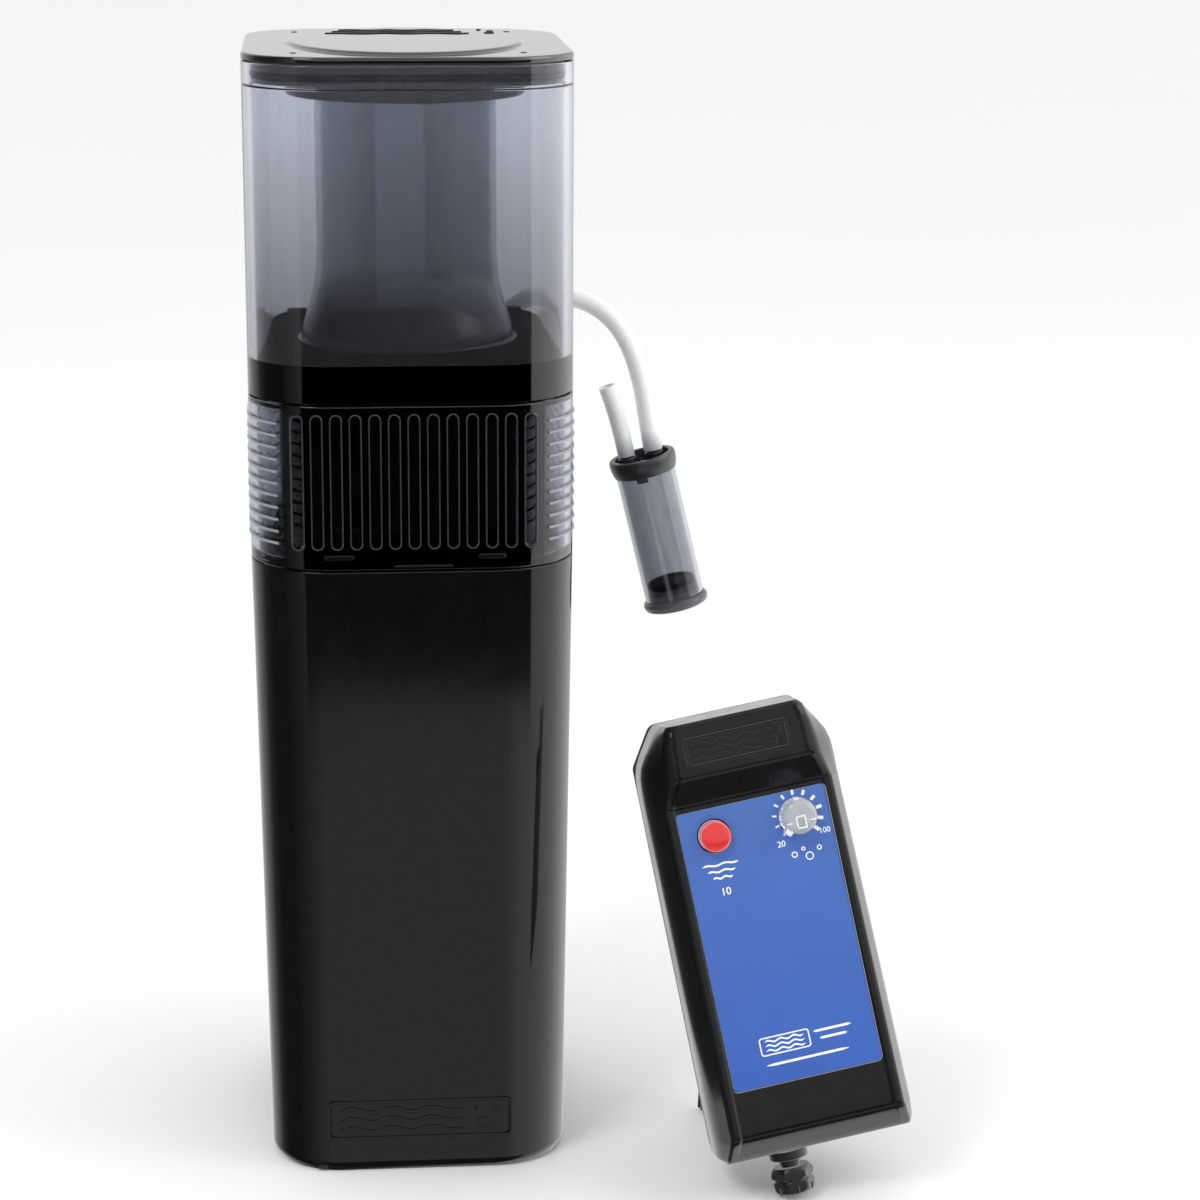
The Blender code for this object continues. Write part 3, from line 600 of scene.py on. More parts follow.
def piece(name, bm, mat, body, replaces=(), place=None, angle=35):
    """A piece on a body, from a mesh in millimetres."""
    if place:
        bm.transform(place)
    bm.transform(Matrix.Scale(MM, 4))
    mesh = bpy.data.meshes.new(name)
    bm.to_mesh(mesh)
    bm.free()
    shade(mesh, angle)
    mesh.materials.append(mat)
    obj = bpy.data.objects.new(name, mesh)
    bpy.context.collection.objects.link(obj)
    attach(obj, body)
    if replaces:
        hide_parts(*replaces)
    flatten(obj)
    return obj


def flatten(obj):
    """Large faces keep their own direction beside small round edges."""
    change = obj.modifiers.new("flat", "WEIGHTED_NORMAL")
    change.mode, change.weight, change.keep_sharp = "FACE_AREA", 60, True


def carve(obj, bm, place=None, angle=35):
    """Cut a mesh in millimetres out of a piece."""
    if place:
        bm.transform(place)
    bm.transform(Matrix.Scale(MM, 4))
    mesh = bpy.data.meshes.new("cutter")
    bm.to_mesh(mesh)
    bm.free()
    tool = bpy.data.objects.new("cutter", mesh)
    bpy.context.collection.objects.link(tool)
    obj.modifiers.clear()
    change = obj.modifiers.new("cut", "BOOLEAN")
    change.operation, change.solver, change.object = "DIFFERENCE", "EXACT", tool
    change.use_self = True
    bpy.context.view_layer.update()
    shape = bpy.data.meshes.new_from_object(obj.evaluated_get(bpy.context.evaluated_depsgraph_get()))
    bpy.data.objects.remove(tool)
    obj.modifiers.clear()
    obj.data = shape
    shade(shape, angle)
    flatten(obj)


def outset(outline, distance):
    """A closed outline of 2-D points, moved outwards."""
    count, moved_points = len(outline), []
    area = sum(a.x * b.y - b.x * a.y for a, b in zip(outline, outline[1:] + outline[:1]))
    for k, here in enumerate(outline):
        before, after = here - outline[k - 1], outline[(k + 1) % count] - here
        way = before.normalized() + after.normalized()
        normal = Vector((way.y, -way.x)).normalized() * (1 if area > 0 else -1)
        moved_points.append(here + normal * distance)
    return moved_points


def relief(outline, height, edge, surface_at, sink=0.4):
    """A raised shape on a surface; surface_at turns (across, along, height) into a place."""
    steps = ((0.0, -sink), (0.0, height - edge), (-edge * 0.4, height - edge * 0.3), (-edge, height))
    return loft([[surface_at(p.x, p.y, up) for p in outset(outline, grow)] for grow, up in steps])


def frame_outline(half_x, half_y, radius, centre=(0, 0), steps=6):
    """A rounded rectangle as 2-D points."""
    return [p + Vector(centre) for p, _ in rounded_box(half_x, half_y, radius, steps, 2)]


def upright(outline, y):
    """A 2-D outline, standing at a depth."""
    return [Vector((p.x, y, p.y)) for p in outline]


def slot_outline(x, low, high, radius, steps=12):
    """An upright round-ended outline as 2-D points."""
    points = []
    for z, start in ((high - radius, 0), (low + radius, 180)):
        for k in range(steps + 1):
            angle = math.radians(start + 180 * k / steps)
            points.append(Vector((x + radius * math.cos(angle), z + radius * math.sin(angle))))
    return points


def slot_outline_across(x, z, half_x, half_z):
    """A level round-ended outline as 2-D points."""
    return [Vector((x - (p.y - z), z + (p.x - x))) for p in slot_outline(x, z - half_x, z + half_x, half_z)]


def raised_frame(half_x, half_y, radius, width, height, centre, surface_at, sink=0.4):
    """A raised band round a rounded rectangle."""
    profile = soften([(0, -sink), (0, height, 0.12), (-width, height, 0.12), (-width, -sink)], steps=3)
    outline = frame_outline(half_x, half_y, radius, centre)
    rings = [[surface_at(p.x, p.y, up) for p in outset(outline, grow)] for grow, up in profile]
    return loft(rings, closed=True)


def bead(outline, radius, y, count=8):
    """A round bead along an outline that stands at a depth."""
    return loft([upright(outset(outline, radius * c), y - radius * s) for c, s in round_about(count)],
                closed=True)


def wave(centre, length, swing, width, periods, steps=48):
    """The outline of a wavy bar with round ends, as 2-D points."""
    upper, lower = [], []
    for k in range(steps + 1):
        part = k / steps
        x = centre[0] + (part - 0.5) * length
        y = centre[1] + swing * math.sin(2 * math.pi * periods * part)
        half = width / 2 * min(1.0, 0.25 + 3.0 * math.sin(math.pi * part))
        upper.append(Vector((x, y + half)))
        lower.append(Vector((x, y - half)))
    return lower + upper[::-1]


def dot(centre, radius, count=20):
    """A round outline, as 2-D points."""
    return [Vector((centre[0] + radius * c, centre[1] + radius * s)) for c, s in round_about(count)]


def emblem(half_x, half_y, centre, surface_at, height):
    """A generic mark: three waves and three bubbles in a rounded frame."""
    parts = [raised_frame(half_x, half_y, half_y * 0.3, 0.9, height, centre, surface_at)]
    for k in (-1, 0, 1):
        middle = (centre[0] - half_x * 0.2, centre[1] + k * half_y * 0.5)
        parts.append(relief(wave(middle, half_x * 1.3, half_y * 0.1, half_y * 0.17, 3), height, 0.12, surface_at))
    for x, y, radius in ((0.68, -0.25, 0.26), (0.82, 0.42, 0.16), (0.6, 0.5, 0.1)):
        place = (centre[0] + half_x * x, centre[1] + half_y * y)
        parts.append(relief(dot(place, half_y * radius), height, 0.12, surface_at))
    return joined(*parts)


# ---------------------------------------------------------------- air line

def build_airline(mats):
    """The hose from the fitting to the silencer, the open stub beside it, and the silencer."""
    line = smooth_line(AIRLINE_ROUTE, 32)
    curve = bpy.data.curves.new("air_line", "CURVE")
    curve.dimensions = "3D"
    curve.bevel_depth = HOSE_RADIUS * MM
    curve.bevel_resolution = 8
    curve.resolution_u = 4
    curve.use_fill_caps = True
    spline = curve.splines.new("BEZIER")
    spline.bezier_points.add(len(line) - 1)
    for index, (point, place) in enumerate(zip(spline.bezier_points, line)):
        before, after = line[max(index - 1, 0)], line[min(index + 1, len(line) - 1)]
        lead = (after - before) / (6 if 0 < index < len(line) - 1 else 3)
        point.handle_left_type = point.handle_right_type = "FREE"
        point.co = place * MM
        point.handle_left, point.handle_right = (place - lead) * MM, (place + lead) * MM
    curve.materials.append(mats["silicone"])
    hose = bpy.data.objects.new("air_line", curve)
    bpy.context.collection.objects.link(hose)
    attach(hose, "column")
    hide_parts("air_hose")

    stub = piece("open_stub", tube(smooth_line(STUB_ROUTE, 14), 2.7, 28, 0.8), mats["silicone"], "column",
                 ["stub_hose"])

    cap_profile = [(0.01, -3.4), (8.5, -3.4), (8.6, 0.0, 0.3), (10.3, 0.0, 0.5), (10.6, -1.2, 0.4),
                   (10.4, -3.4, 0.8), (9.75, -5.6, 0.3), (9.5, -5.6, 0.1), (9.5, -4.0), (0.01, -4.0)]
    rib = block((-0.6, -8.3, -3.6), (0.6, 8.3, -2.6), 0.2)
    nipples = [moved(turned([(1.4, -3.6), (1.4, 0.6, 0.2), (2.9, 0.3, 0.3), (2.9, -2.4, 0.4), (3.6, -3.0, 0.3),
                             (3.6, -3.6)], 32, closed=True), shift(x, 0)) for x in (-4.6, 4.0)]
    tab = moved(block((-1.8, -10.0, -6.9), (1.8, -9.4, -5.0), 0.25), Matrix.Rotation(math.radians(-12), 4, "Z"))
    cap = piece("silencer_head", joined(turned(cap_profile, 72), tab, rib, *nipples), mats["cap"], "column",
                ["silencer_cap"], SILENCER)

    top, bottom = -4.3, -46.5
    case = piece("silencer_body", turned([(8.1, top), (9.3, top), (9.3, bottom), (8.1, bottom)], 96, closed=True),
                 mats["frost"], "silencer", ["silencer_tube"], SILENCER)
    foot_profile = [(0.01, bottom + 3.0), (7.6, bottom + 3.0, 0.3), (8.0, bottom + 3.0, 0.3),
                    (8.0, bottom - 0.3, 0.2), (9.4, bottom - 0.3, 0.3), (10.5, bottom - 1.6, 0.8),
                    (9.9, bottom - 3.4, 0.6), (0.01, bottom - 3.4)]
    foot = piece("silencer_foot", turned(foot_profile, 96), mats["frost_dark"], "silencer",
                 ["silencer_base"], SILENCER)
    felt = piece("silencer_felt", turned([(0.01, bottom + 3.4), (7.6, bottom + 3.4, 0.4), (7.6, bottom + 5.2, 0.5),
                                          (0.01, bottom + 5.0)], 48), mats["foam"], "silencer",
                 ["silencer_foam"], SILENCER)


# ---------------------------------------------------------------- column

def front_at(x, z, up):
    """A place on the column's front face."""
    return Vector((x, -column_size(z)[1] - up, z))


def build_housing(mats):
    """The black housing with the slots in its back, and the raised mark on its front."""
    path = [(2.5, 0.0), (1.4, 0.0, 0.0), (0.0, 2.2, 1.3), (0.0, RIM_Z, 0.5), (WALL, RIM_Z, 0.5),
            (WALL, FLOOR + 2, 0.0), (WALL + 2, FLOOR, 0.0)]
    rings = [column(max(z, 0.0), inset) for inset, z in soften(path)]
    housing = piece("lower_housing", loft(rings), mats["gloss"], "column", ["housing"])
    slots = [loft([upright(frame_outline(2, 23, 1.9, (x, 123)), y) for y in (45, 60)])
             for x in range(-21, 2, 7)]
    port = along_y(turned([(3.2, 45), (3.2, 60)], 32), 24.0, 166.0)
    carve(housing, joined(*slots, port))
    mark = emblem(27.2, 6.1, (0, 16.3), front_at, 0.32)
    piece("housing_mark", mark, mats["gloss"], "column")
    nub = relief(frame_outline(1.5, 0.6, 0.5, (-28.7, 1.3)), 0.5, 0.15,
                 lambda x, z, up: front_at(x, z, up) + Vector((0, 1.6, 0)))
    piece("foot_nub", nub, mats["satin"], "column")


def build_back(mats):
    """The air fitting and the magnet holder on the back of the housing."""
    barbs = [(2.9, 163), (2.9, 176, 0.4), (2.2, 176.4, 0.2), (2.6, 178.4, 0.1), (2.1, 178.6, 0.1), (2.6, 181, 0.1),
             (2.1, 181.2, 0.1), (2.0, 184, 0.3), (1.2, 184), (1.2, 163)]
    bend = tube(smooth_line(((24, 47, 166), (24, 53, 166), (24, 57.4, 166.2), (24, 59.9, 168), (24, 60.5, 171)), 14),
                2.9, 32)
    collar = along_y(turned([(2.0, 55.1), (5.0, 55.1, 0.3), (5.0, 57.1, 0.5), (2.0, 57.1)], 48), 24, 166)
    inner = moved(turned([(0.01, 152), (2.1, 152, 0.3), (2.1, 156), (2.9, 156, 0.3), (2.9, 169, 0.8),
                          (0.01, 169)], 32), shift(24, 47))
    outer = moved(turned(barbs, 32, closed=True), shift(24, 60.5))
    piece("air_elbow", joined(bend, collar, inner, outer), mats["satin"], "column", ["air_fitting"])

    holder = piece("magnet_bracket", block((-24, 54.4, 58), (24, 62, 84), 1.6, 4), mats["satin"], "column",
                   ["magnet_holder"])
    pockets = [along_y(turned([(8.3, 56.5), (8.3, 65)], 48), x, 71) for x in (-12, 12)]
    carve(holder, joined(*pockets))
    pad = block((-24, 62.3, 58), (24, 64, 84), 0.6, 3)
    ribs = [block((x - 0.5, 63.6, 60), (x + 0.5, 64.0, 82), 0.15, 2) for x in range(-21, 22, 3)]
    pad_piece = piece("glass_pad", pad, mats["rubber"], "column", ["magnet_pad"])
    carve(pad_piece, joined(*ribs))


def build_ring(mats):
    """The smoked comb ring with its slots, beads and grip ridges."""
    corner, side = 32, 6
    low, pitch, count = 189.3, 3.4, 11
    top, bottom = SEAM_Z - GAP, RIM_Z + GAP
    path = soften([(0.9, bottom), (0.0, bottom, 0.5), (0.0, top, 0.5), (0.9, top)], steps=3)
    spigot, lip = WALL + 0.4, WALL + 0.3
    under, over = RIM_Z - 5, SEAM_Z + 5.6
    inside = [(lip, SEAM_Z - GAP, 0.2), (lip, over, 0.4), (lip + 1.6, over, 0.4), (lip + 1.6, SEAM_Z, 0.4),
              (WALL, SEAM_Z - 2, 0.4), (WALL, RIM_Z + 3, 0.4), (spigot + 1.6, RIM_Z + 1, 0.3),
              (spigot + 1.6, under, 0.4), (spigot, under, 0.4), (spigot, RIM_Z + GAP, 0.2)]
    path += soften([(0.9, top)] + inside + [(0.9, bottom)], steps=3)[1:-1]
    rings = [level(column(SEAM_Z, inset, corner, side), z) for inset, z in path]
    ring = piece("smoked_comb_ring", loft(rings, closed=True), mats["ring"], "ring", ["comb_ring"])
    slots, beads = [], []
    for index in range(13):
        x = (index - 6) * 5.4
        outline = slot_outline(x, 188.5, 226.6, 1.6)
        slots.append(loft([upright(outline, y) for y in (-60, -30)]))
        beads.append(bead(outline, 0.24, -54.95))
    carve(ring, joined(*slots))
    piece("slot_beads", joined(*beads), mats["bead"], "ring")
    outline = [p for p, _ in rounded_box(*column_size(SEAM_Z), 24, 24)]
    half = [Vector((*p, 0)) for p in outline if p.x > 37.6 and p.y < 45]
    half.sort(key=lambda p: math.atan2(p.y, p.x - 20))
    ridges = []
    for index in range(count):
        for hand in (-1, 1):
            line = [Vector((hand * (p.x + 0.05), p.y, low + pitch * index)) for p in half]
            line = [line[0] + Vector((0, 0.5, 0))] + line + [line[-1] - Vector((hand * 0.5, 0, 0))]
            ridges.append(tube(line, 0.42, 10))
    piece("grip_ridges", joined(*ridges), mats["ridge"], "ring")
    catches = [relief(slot_outline_across(*catch), 0.4, 0.3, front_at, 0.2) for catch in
               ((-21.2, 186.2, 4.3, 0.7), (21.6, 186.2, 3.9, 0.7), (2.4, 183.6, 8.2, 0.35))]
    piece("ring_catches", joined(*catches), mats["gloss"], "ring")


def build_cup(mats):
    """The smoked cup with its riser."""
    floor = CUP_FLOOR_Z + 2.2
    step = LID_Z - 6.4
    outer = soften([(WALL, SEAM_Z), (0.4, SEAM_Z), (0.0, SEAM_Z + 0.4), (0.0, LID_Z, 0.5), (WALL, LID_Z, 0.4),
                    (WALL, step, 0.15), (WALL + 0.5, step - 0.5, 0.15), (WALL + 0.5, floor, 1.2)], steps=3)
    rings = [column(z, inset) for inset, z in outer]
    rings.append(boxy(*(size - 5.5 for size in RIM), floor))
    riser = soften([(32.4, floor), (31.2, floor, 0.8), (31.0, 243, 1.0), (28.6, 250, 3), (26.9, 257, 3),
                    (26.3, 264, 3), (26.3, 313, 0.6), (24.5, 313, 0.6), (24.5, 264, 3), (25.1, 257, 3),
                    (26.8, 250, 3), (29.2, 243, 1.0), (29.8, floor, 0.8), (29.8, CUP_FLOOR_Z)], steps=5)
    first = len(rings)
    rings += [circle(radius, z) for radius, z in riser]
    last = len(rings)
    rings.append(column(CUP_FLOOR_Z, WALL))
    bm = loft(rings, closed=True)
    count, riser_slot, floor_slot = len(rings[0]), 1, 2
    for index, face in enumerate(bm.faces):
        row = index // count
        if first <= row < last - 1:
            face.material_index = riser_slot
        elif row >= first - 2:
            face.material_index = floor_slot
    cup = piece("smoked_cup", bm, mats["smoke"], "cup", ["cup"])
    cup.data.materials.append(mats["smoke_dark"])
    cup.data.materials.append(mats["floor"])

    def on_floor(x, y, up):
        return Vector((x, y, floor + up))
    clips = [raised_frame(7.0, 1.7, 1.5, 0.9, 1.1, (x, 44.5), on_floor) for x in (-30.5, 30.5)]
    piece("floor_clips", joined(*clips), mats["gloss"], "cup")


def lid_ring(inset, z):
    """The column's outline at the lid, moved to a height."""
    return level(column(LID_Z, inset), z)


def build_lid(mats):
    """The lid with its plug, oval and raised mark."""
    under, plug_low = LID_Z - 6, 310.0
    edge = TOP_Z - 0.8
    plug = soften([(32.6, LID_Z - 1), (32.6, plug_low, 0.5), (35.0, plug_low, 0.7), (35.0, under, 0.5)], steps=3)
    rings = [circle(radius, z) for radius, z in plug]
    rings += [lid_ring(WALL + more, under + up) for more, up in ((6, 0), (1.2, 0), (0.6, 0.2), (0.5, 0.7))]
    inset = WALL + 0.5
    body = soften([(inset, under + 1.4, 0.1), (inset + 1, under + 1.4, 0.1), (inset + 1, under + 3.4, 0.1),
                   (inset, under + 3.4, 0.1), (inset, LID_Z + GAP, 0.2), (0.0, LID_Z + GAP, 0.3),
                   (0.0, edge, 0.9), (3.0, edge)], steps=4)
    rings += [lid_ring(*place) for place in body]
    for offset, z in soften([(1.2, edge), (0.0, edge, 0.5), (-1.1, TOP_Z, 0.7), (-6.0, TOP_Z)], steps=5):
        rings.append(circle(34 + offset, z, 49 + offset))
    piece("black_lid", loft(rings), mats["lid"], "lid", ["lid"])

    def on_lid(x, y, up):
        return Vector((x, y, TOP_Z + up))
    outlines = [wave((-1.5, 22 + 6.5 * k), 42 - 4 * k, 1.0, 2.0, 3) for k in range(3)]
    outlines += [dot((x, y), radius) for x, y, radius in ((25.5, 24, 1.5), (26, 30.5, 1.0), (23, 35.5, 0.7))]
    mark = joined(*(relief(outline, 0.25, 0.1, on_lid, 0.1) for outline in outlines))
    piece("lid_mark", mark, mats["dark"], "lid")
    pins = [relief(dot((x, y), 0.9), 0.12, 0.08, lambda a, b, up: Vector((a, b, edge + up)), 0.1)
            for y in (-39.5, 39.5) for x in (-31.5, 31.5)]
    piece("lid_pins", joined(*pins), mats["dark"], "lid")
    seal = soften([(inset + 0.9, under + 1.6), (WALL + 0.2, under + 1.6, 0.7), (WALL + 0.2, under + 3.2, 0.7),
                   (inset + 0.9, under + 3.2)], steps=4)
    piece("lid_seal", loft([lid_ring(*place) for place in seal], closed=True), mats["rubber"], "lid",
          ["lid_gasket"])


def build_chamber(mats):
    """The black chamber with its deck and neck."""
    inner, low = 2.0, DECK_Z - 3.2
    half = (36.0, 42.0, 12.0)
    inside = tuple(size - inner for size in half)
    deck = (41.2, 50.3, 19.5)
    neck = soften([(27.5, DECK_Z), (25.5, DECK_Z, 1.2), (25.5, 244, 0.5), (23.5, 244, 0.5), (23.5, low - 2)], steps=4)
    rings = [boxy(*inside, 92), boxy(*(s - 0.4 for s in half), 92), boxy(*half, 92.4), boxy(*half, low),
             boxy(*(s - 0.6 for s in deck), low), boxy(*deck, low + 0.6), boxy(*deck, DECK_Z - 0.8),
             boxy(*(s - 0.25 for s in deck), DECK_Z - 0.25), boxy(*(s - 0.8 for s in deck), DECK_Z)]
    rings += [circle(radius, z) for radius, z in neck]
    rings.append(boxy(*inside, low - 2))
    legs = [moved(turned([(0.01, FLOOR + GAP), (2.6, FLOOR + GAP, 0.4), (2.6, 98), (0.01, 98)], 24), shift(x, y))
            for x in (-33, 33) for y in (-30, 30)]
    piece("chamber_shell", joined(loft(rings, closed=True), *legs), mats["gloss"], "chamber", ["chamber"])
    seal = [(26.5 + 0.9 * c, 240.6 + 0.9 * s) for c, s in round_about(12)]
    piece("neck_ring", turned(seal, 92, closed=True), mats["rubber"], "chamber", ["neck_seal"])


# ---------------------------------------------------------------- controller

FACE_Y = -13.0
HOOD_Y = -17.8
PANEL = (21.8, -38.1, 42.8)
BUTTON = (-12.0, 34.8)
KNOB = (12.4, 35.5)
INLET = (11.4, 2.0)
GLAND = (-9.0, 0.0)
CASE_LOW = -59.2


def between(z, stops):
    """A value at a height, from (height, value) stops."""
    for (low, a), (high, b) in zip(stops, stops[1:]):
        if z <= high:
            part = min(max((z - low) / (high - low), 0.0), 1.0)
            return a + (b - a) * part
    return stops[-1][1]


def case_section(z):
    """The outline of the controller's shell across its length: half widths, front and rail against height."""
    back = between(z, ((-59.2, 28.4), (-58.6, 29.3), (-57.6, 29.6), (50, 28.7), (54, 28.4), (57, 27.6), (60, 26.0),
                       (63, 24.0), (66, 22.0), (67.4, 20.8), (68, 19.8)))
    face = between(z, ((-59.2, 27.0), (-58, 26.9), (-52.6, 25.6), (-51.4, 25.2), (44.3, 24.4), (52.5, 21.4),
                       (62, 21.0), (66.6, 20.2), (68, 19.0)))
    front = between(z, ((-59.2, -5.2), (-58.4, -6.6), (-53.0, -12.2), (-51.8, -12.9), (-50.6, FACE_Y), (44.3, FACE_Y),
                        (45.2, -13.25), (51.8, -17.4), (53.0, HOOD_Y), (64.5, HOOD_Y), (66.8, -17.1), (68, -15.6)))
    rail = between(z, ((-58, 0.0), (-52.6, 0.5), (43.6, 0.5), (48, 0.0)))
    crest = between(z, ((44.3, 1.3), (53, 3.2)))
    depth = 12.9 - front
    path = [(0, front), (face - 2.9, front, 0.35), (face - 2.3, front - rail, 0.3), (face, front - rail, crest),
            (back - 0.3, front + depth * 0.42, depth * 0.2), (back, 12.9, 0.9), (0, 12.9)]
    half = soften(path, steps=5)
    return half + [Vector((-p.x, p.y)) for p in half[-2:0:-1]]


def control_holes():
    """The cutters for the button's and the knob's holes."""
    return [along_y(turned([(radius, FACE_Y - 3), (radius, FACE_Y + 6)], 40), x, z)
            for radius, (x, z) in ((5.0, BUTTON), (3.6, KNOB))]


def build_case(mats):
    """The controller's shell with the hood, the recess for the panel and the sockets."""
    levels = [-59.2, -58.9, -58.5, -58, -57, -56, -54.5, -53.2, -52.6, -52, -51.4, -50.6, -46]
    levels += [-30, -10, 10, 30, 42, 43.6, 44.3, 44.8, 45.2, 46, 47.5, 49, 50.5, 51.8, 52.2, 52.6, 53, 54, 55.5, 57]
    levels += [58.5, 60, 61.5, 63, 64.5, 65.3, 66, 66.6, 67.1, 67.5, 67.8, 68]
    rings = [[Vector((p.x, p.y, z)) for p in case_section(z)] for z in levels]
    shell = piece("controller_case", loft(rings), mats["case"], "controller",
                  ["controller_shell", "hood"], CONTROLLER, 30)
    half, low, high = PANEL
    middle = ((high + low) / 2, (high - low) / 2)
    recess = loft([upright(frame_outline(half + GAP, middle[1] + GAP, 1.6, (0, middle[0])), y)
                   for y in (FACE_Y - 1, FACE_Y + 1.2)])
    socket = moved(turned([(5.7, -70), (5.7, -46)], 48), shift(*INLET))
    carve(shell, joined(recess, *control_holes(), socket), CONTROLLER, 30)

    def on_hood(x, z, up):
        return CONTROLLER @ Vector((x, HOOD_Y - up, z))
    piece("hood_mark", emblem(15.2, 4.3, (-0.6, 59.6), on_hood, 0.35), mats["case"], "controller")

    layers = ((0, 1.3, 0.9), (0, 1.3, 0.08), (0.1, 1.2, 0))
    panel = loft([upright(frame_outline(half - less, middle[1] - less, radius, (0, middle[0])), FACE_Y + depth)
                  for less, radius, depth in layers])
    panel = piece("label_panel", panel, mats["panel"], "controller", ["face_panel"], CONTROLLER)
    carve(panel, joined(*control_holes()), CONTROLLER)
    build_print(mats)


def build_print(mats):
    """The dial's ticks and numbers, and plain signs instead of words."""
    def on_face(x, z, up):
        return CONTROLLER @ Vector((x, FACE_Y - up, z))
    ink = 0.03

    def printed(outline):
        return relief(outline, ink, 0.01, on_face, 0.0)
    parts = []
    centre = Vector(KNOB)
    for k in range(11):
        angle = math.radians(225 - 27 * k)
        inner, outer, half = 5.9, 7.0 + 0.07 * k, 0.22 + 0.03 * k
        way = Vector((math.cos(angle), math.sin(angle)))
        wide = Vector((-way.y, way.x)) * half
        outline = [centre + way * inner - wide, centre + way * outer - wide, centre + way * outer + wide,
                   centre + way * inner + wide]
        parts.append(printed(outline))
    for text, x, z, size in (("20", 6.3, 28.3, 2.4), ("100", 19.3, 29.6, 2.2)):
        parts.append(digits(text, x, z, size, on_face, ink))
    for k in range(3):
        parts.append(printed(wave((-12.0, 26.6 - 1.9 * k), 10.5 - 2.4 * k, 0.22, 0.55, 2)))
    parts.append(digits("10", -12.0, 18.6, 3.0, on_face, ink))
    for x, z, radius in ((9.4, 24.6, 0.9), (12.2, 25.8, 0.6), (13.6, 23.4, 1.2), (16.8, 25.2, 0.75)):
        parts.append(ring_print(x, z, radius, 0.32, on_face, ink))
    parts.append(raised_frame(7.4, 2.7, 1.0, 0.45, ink, (-4.6, -27.2), on_face, 0.0))
    for k in (-1, 0, 1):
        parts.append(printed(wave((-4.6, -27.2 + 1.35 * k), 11.5, 0.3, 0.5, 3)))
    for k, length in enumerate((11.0, 8.0)):
        parts.append(printed(wave((9.5, -25.9 - 2.2 * k), length, 0.0, 0.7, 1)))
    parts.append(printed(wave((1.0, -32.6), 24.0, 0.0, 0.7, 1)))
    piece("panel_print", joined(*parts), mats["print"], "controller", angle=60)


def ring_print(x, z, radius, width, on_face, ink):
    """A printed ring."""
    outline = dot((x, z), radius, 24)
    rings = [[on_face(p.x, p.y, up) for p in outset(outline, grow)]
             for grow, up in ((0, 0), (0, ink), (-width, ink), (-width, 0))]
    return loft(rings, closed=True)


def digits(text, x, z, size, on_face, ink):
    """Printed numbers, centred on a place."""
    curve = bpy.data.curves.new("digits", "FONT")
    curve.body, curve.size = text, size
    curve.align_x, curve.align_y = "CENTER", "CENTER"
    curve.extrude = ink / 2
    curve.offset = size * 0.012
    obj = bpy.data.objects.new("digits", curve)
    bpy.context.collection.objects.link(obj)
    bpy.context.view_layer.update()
    mesh = bpy.data.meshes.new_from_object(obj.evaluated_get(bpy.context.evaluated_depsgraph_get()))
    bpy.data.objects.remove(obj)
    bm = bmesh.new()
    bm.from_mesh(mesh)
    bpy.data.meshes.remove(mesh)
    for vert in bm.verts:
        vert.co = on_face(x + vert.co.x, z + vert.co.y, ink / 2 + vert.co.z)
    return bm


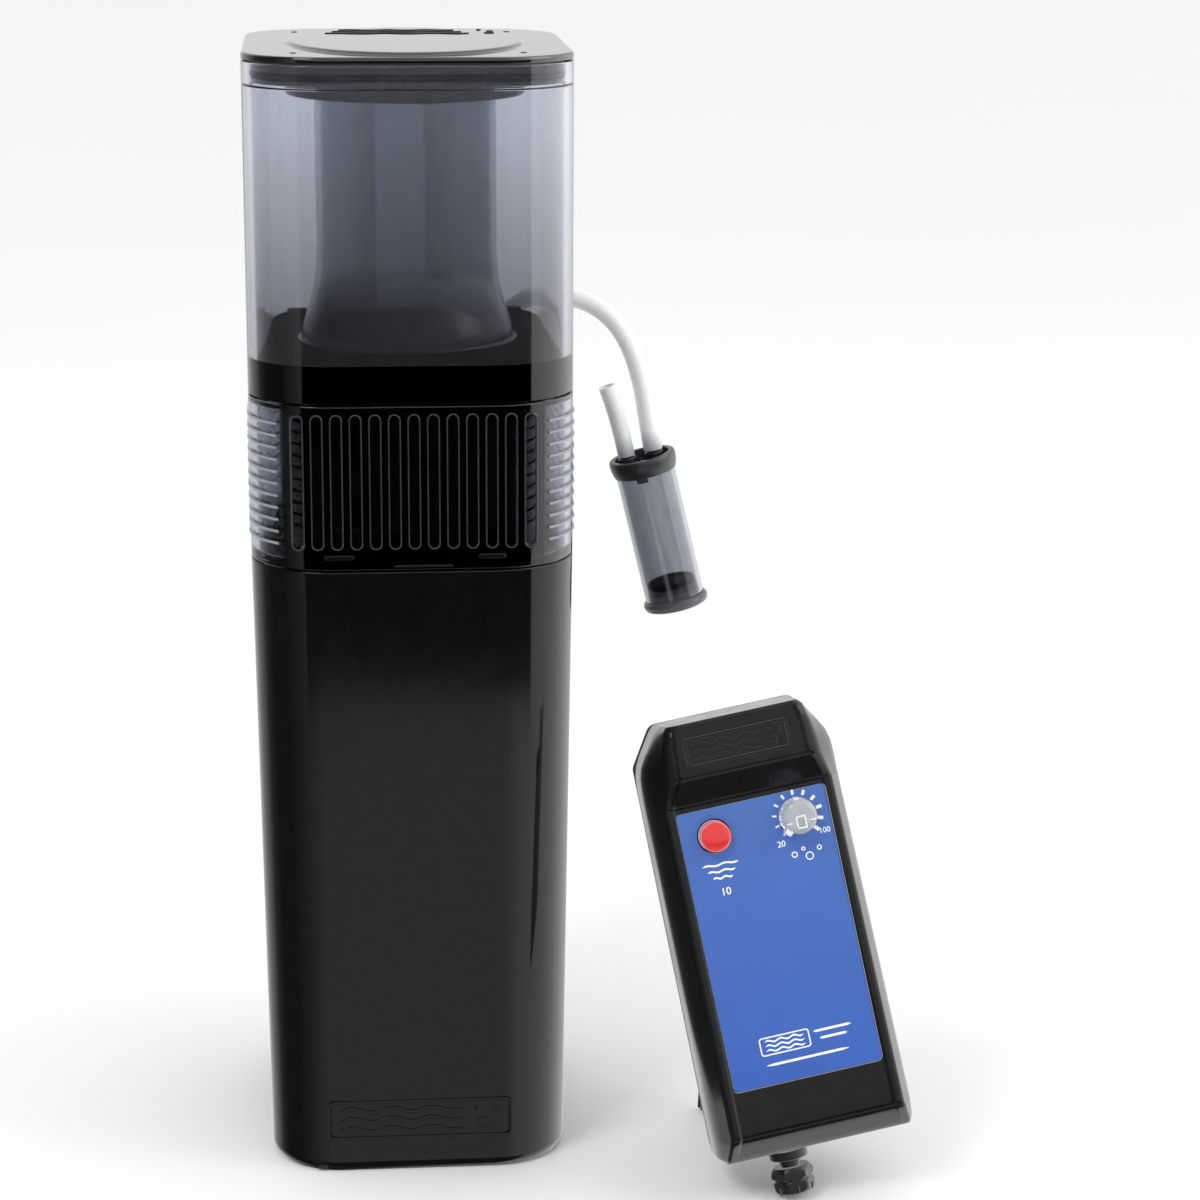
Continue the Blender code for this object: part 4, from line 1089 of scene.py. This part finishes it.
def build_controls(mats):
    """The button and the clear knob."""
    x, z = BUTTON
    button = along_y(turned([(0.01, FACE_Y + 2), (4.5, FACE_Y + 2), (4.5, FACE_Y - 2.2, 0.5),
                             (4.0, FACE_Y - 2.9, 0.3), (2.4, FACE_Y - 3.3, 0.8), (0.01, FACE_Y - 3.4)], 56), x, z)
    piece("push_button", button, mats["red"], "button", ["button"], CONTROLLER)
    rim = along_y(turned([(3.9, FACE_Y - 2.5), (4.0, FACE_Y - 3.0, 0.15), (4.4, FACE_Y - 2.7, 0.15),
                          (4.47, FACE_Y - 2.2)], 56, closed=True), x, z)
    piece("button_rim", rim, mats["bezel"], "button", (), CONTROLLER)

    low, high, turns, steps = -10.4, -2.1, 7, 20
    coil = []
    for k in range(turns * steps + 1):
        angle = 2 * math.pi * k / steps
        coil.append(Vector((x + 2.6 * math.cos(angle), low + (high - low) * k / (turns * steps),
                            z + 2.6 * math.sin(angle))))
    spring = piece("return_spring", tube(coil, 0.3, 10), mats["steel"], "controller", ["button_spring"],
                   CONTROLLER)
    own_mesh(spring)

    x, z = KNOB
    dome = along_y(turned([(0.01, FACE_Y - 0.5), (5.4, FACE_Y - 0.5, 0.3), (5.1, FACE_Y - 5.2, 0.8),
                           (4.0, FACE_Y - 6.6, 1.0), (0.01, FACE_Y - 7.0)], 56), x, z)
    piece("clear_knob", dome, mats["clear"], "knob", ["knob"], CONTROLLER)
    stem = along_y(turned([(0.01, FACE_Y + 1.0), (3.3, FACE_Y + 1.0), (3.3, FACE_Y - 0.2, 0.2),
                           (0.01, FACE_Y - 0.2)], 40), x, z)
    piece("knob_seat", stem, mats["grey"], "controller", (), CONTROLLER)
    lean = Matrix.Translation((x, 0, z)) @ Matrix.Rotation(math.radians(45), 4, "Y")
    lobe = moved(block((-1.1, FACE_Y - 5.6, -6.4), (1.1, FACE_Y - 0.8, -4.6), 0.5), lean)
    frames = ((-1.5, 1.5, -3.4, -2.9), (-1.5, 1.5, -0.1, 0.4), (-1.5, -1.0, -3.4, 0.4), (1.0, 1.5, -3.4, 0.4))
    window = [block((a, FACE_Y - 7.1, c), (b, FACE_Y - 6.5, d), 0.15) for a, b, c, d in frames]
    window += [block((a, FACE_Y - 6.7, -1.7), (b, FACE_Y - 6.2, -1.2), 0.15)
               for a, b in ((-4.2, -1.6), (1.6, 4.2))]
    tab = block((-0.9, FACE_Y - 5.4, 4.6), (0.9, FACE_Y - 1.2, 5.4), 0.3)
    rest = moved(joined(tab, *window), shift(x, 0, z))
    piece("knob_pointer", joined(lobe, rest), mats["milky"], "knob", (), CONTROLLER)


def build_sockets(mats):
    """The power inlet, the gland and the nut under the controller."""
    low = CASE_LOW
    ring = [(2.4, low + 3.0, 0.3), (4.3, low + 3.0, 0.3), (4.3, low - 0.4, 0.2), (5.2, low - 0.4, 0.3),
            (5.2, low + 8.5), (2.4, low + 8.5)]
    pin = turned([(0.01, low + 1.0), (0.7, low + 1.0, 0.2), (0.7, low + 7), (0.01, low + 7)], 20)
    piece("power_socket", moved(joined(turned(ring, 56, closed=True), pin), shift(*INLET)), mats["satin"],
          "controller", ["power_inlet"], CONTROLLER)
    centre = shift(*GLAND)
    boss = turned([(0.01, low - 0.3), (5.6, low - 0.3), (5.6, low - 2.9, 0.5), (3.4, low - 3.2, 0.4),
                   (2.7, low - 5.7), (0.01, low - 5.7)], 48)
    piece("gland_boss", moved(boss, centre), mats["satin"], "controller", ["gland_body"], CONTROLLER)
    top, tip = low - 5.2, low - 12.9
    flats = [(3.2, top, 0.0), (5.2, top, 0.3), (6.2, top - 1.4, 0.5), (6.2, top - 3.0, 0.2), (5.5, top - 3.4, 0.2),
             (5.5, top - 4.0, 0.2), (6.1, top - 4.4, 0.2), (5.9, tip + 1.0, 0.5), (5.0, tip, 0.4), (3.2, tip)]
    rings = []
    for radius, z in soften(flats, closed=True, steps=3):
        ring = []
        for k in range(72):
            angle = 2 * math.pi * k / 72
            across = math.cos(math.radians(30)) / math.cos(angle % math.radians(60) - math.radians(30))
            size = min(radius, 6.2 * across) if radius > 4 else radius
            ring.append(Vector((size * math.cos(angle), size * math.sin(angle), z)))
        rings.append(ring)
    nut = piece("gland_cap", moved(loft(rings, closed=True), centre), mats["satin"], "controller",
                ["gland_nut"], CONTROLLER)
    notches = [moved(block((-0.5, 4.4, tip - 1), (0.5, 8, tip + 2.2), 0.1),
                     centre @ Matrix.Rotation(math.radians(60 * k), 4, "Z")) for k in range(6)]
    carve(nut, joined(*notches), CONTROLLER)


# ---------------------------------------------------------------- the CAD nodes that stay

def dress_nodes(mats):
    """Better materials for the CAD nodes whose shape is right."""
    slots = {row["node"]: row["material_slot"] for row in frame["record"]["subparts"]}
    for name, obj in frame["nodes"].items():
        if obj.hide_render:
            continue
        mat = mats["satin" if slots[name] == "black" else slots[name]]
        if not obj.material_slots:
            raise RuntimeError(f"{name} has no material slot")
        for place in obj.material_slots:
            place.link = "OBJECT"
            place.material = mat


def hide_mirror_image():
    """The gloss of the column doesn't mirror the controller."""
    kept = ("label_panel", "panel_print", "clear_knob", "knob_pointer", "knob_seat")
    for obj in bpy.data.objects:
        if obj.get("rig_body", "") in ("controller", "stand") and obj.name not in kept:
            obj.visible_glossy = False


def main():
    """Camera and cord first, then the rest of the skimmer."""
    add_camera()
    mats = make_materials()
    build_airline(mats)
    build_housing(mats)
    build_back(mats)
    build_ring(mats)
    build_cup(mats)
    build_lid(mats)
    build_chamber(mats)
    build_case(mats)
    build_controls(mats)
    build_sockets(mats)
    dress_nodes(mats)
    hide_mirror_image()
    add_floor()
    add_light()


main()
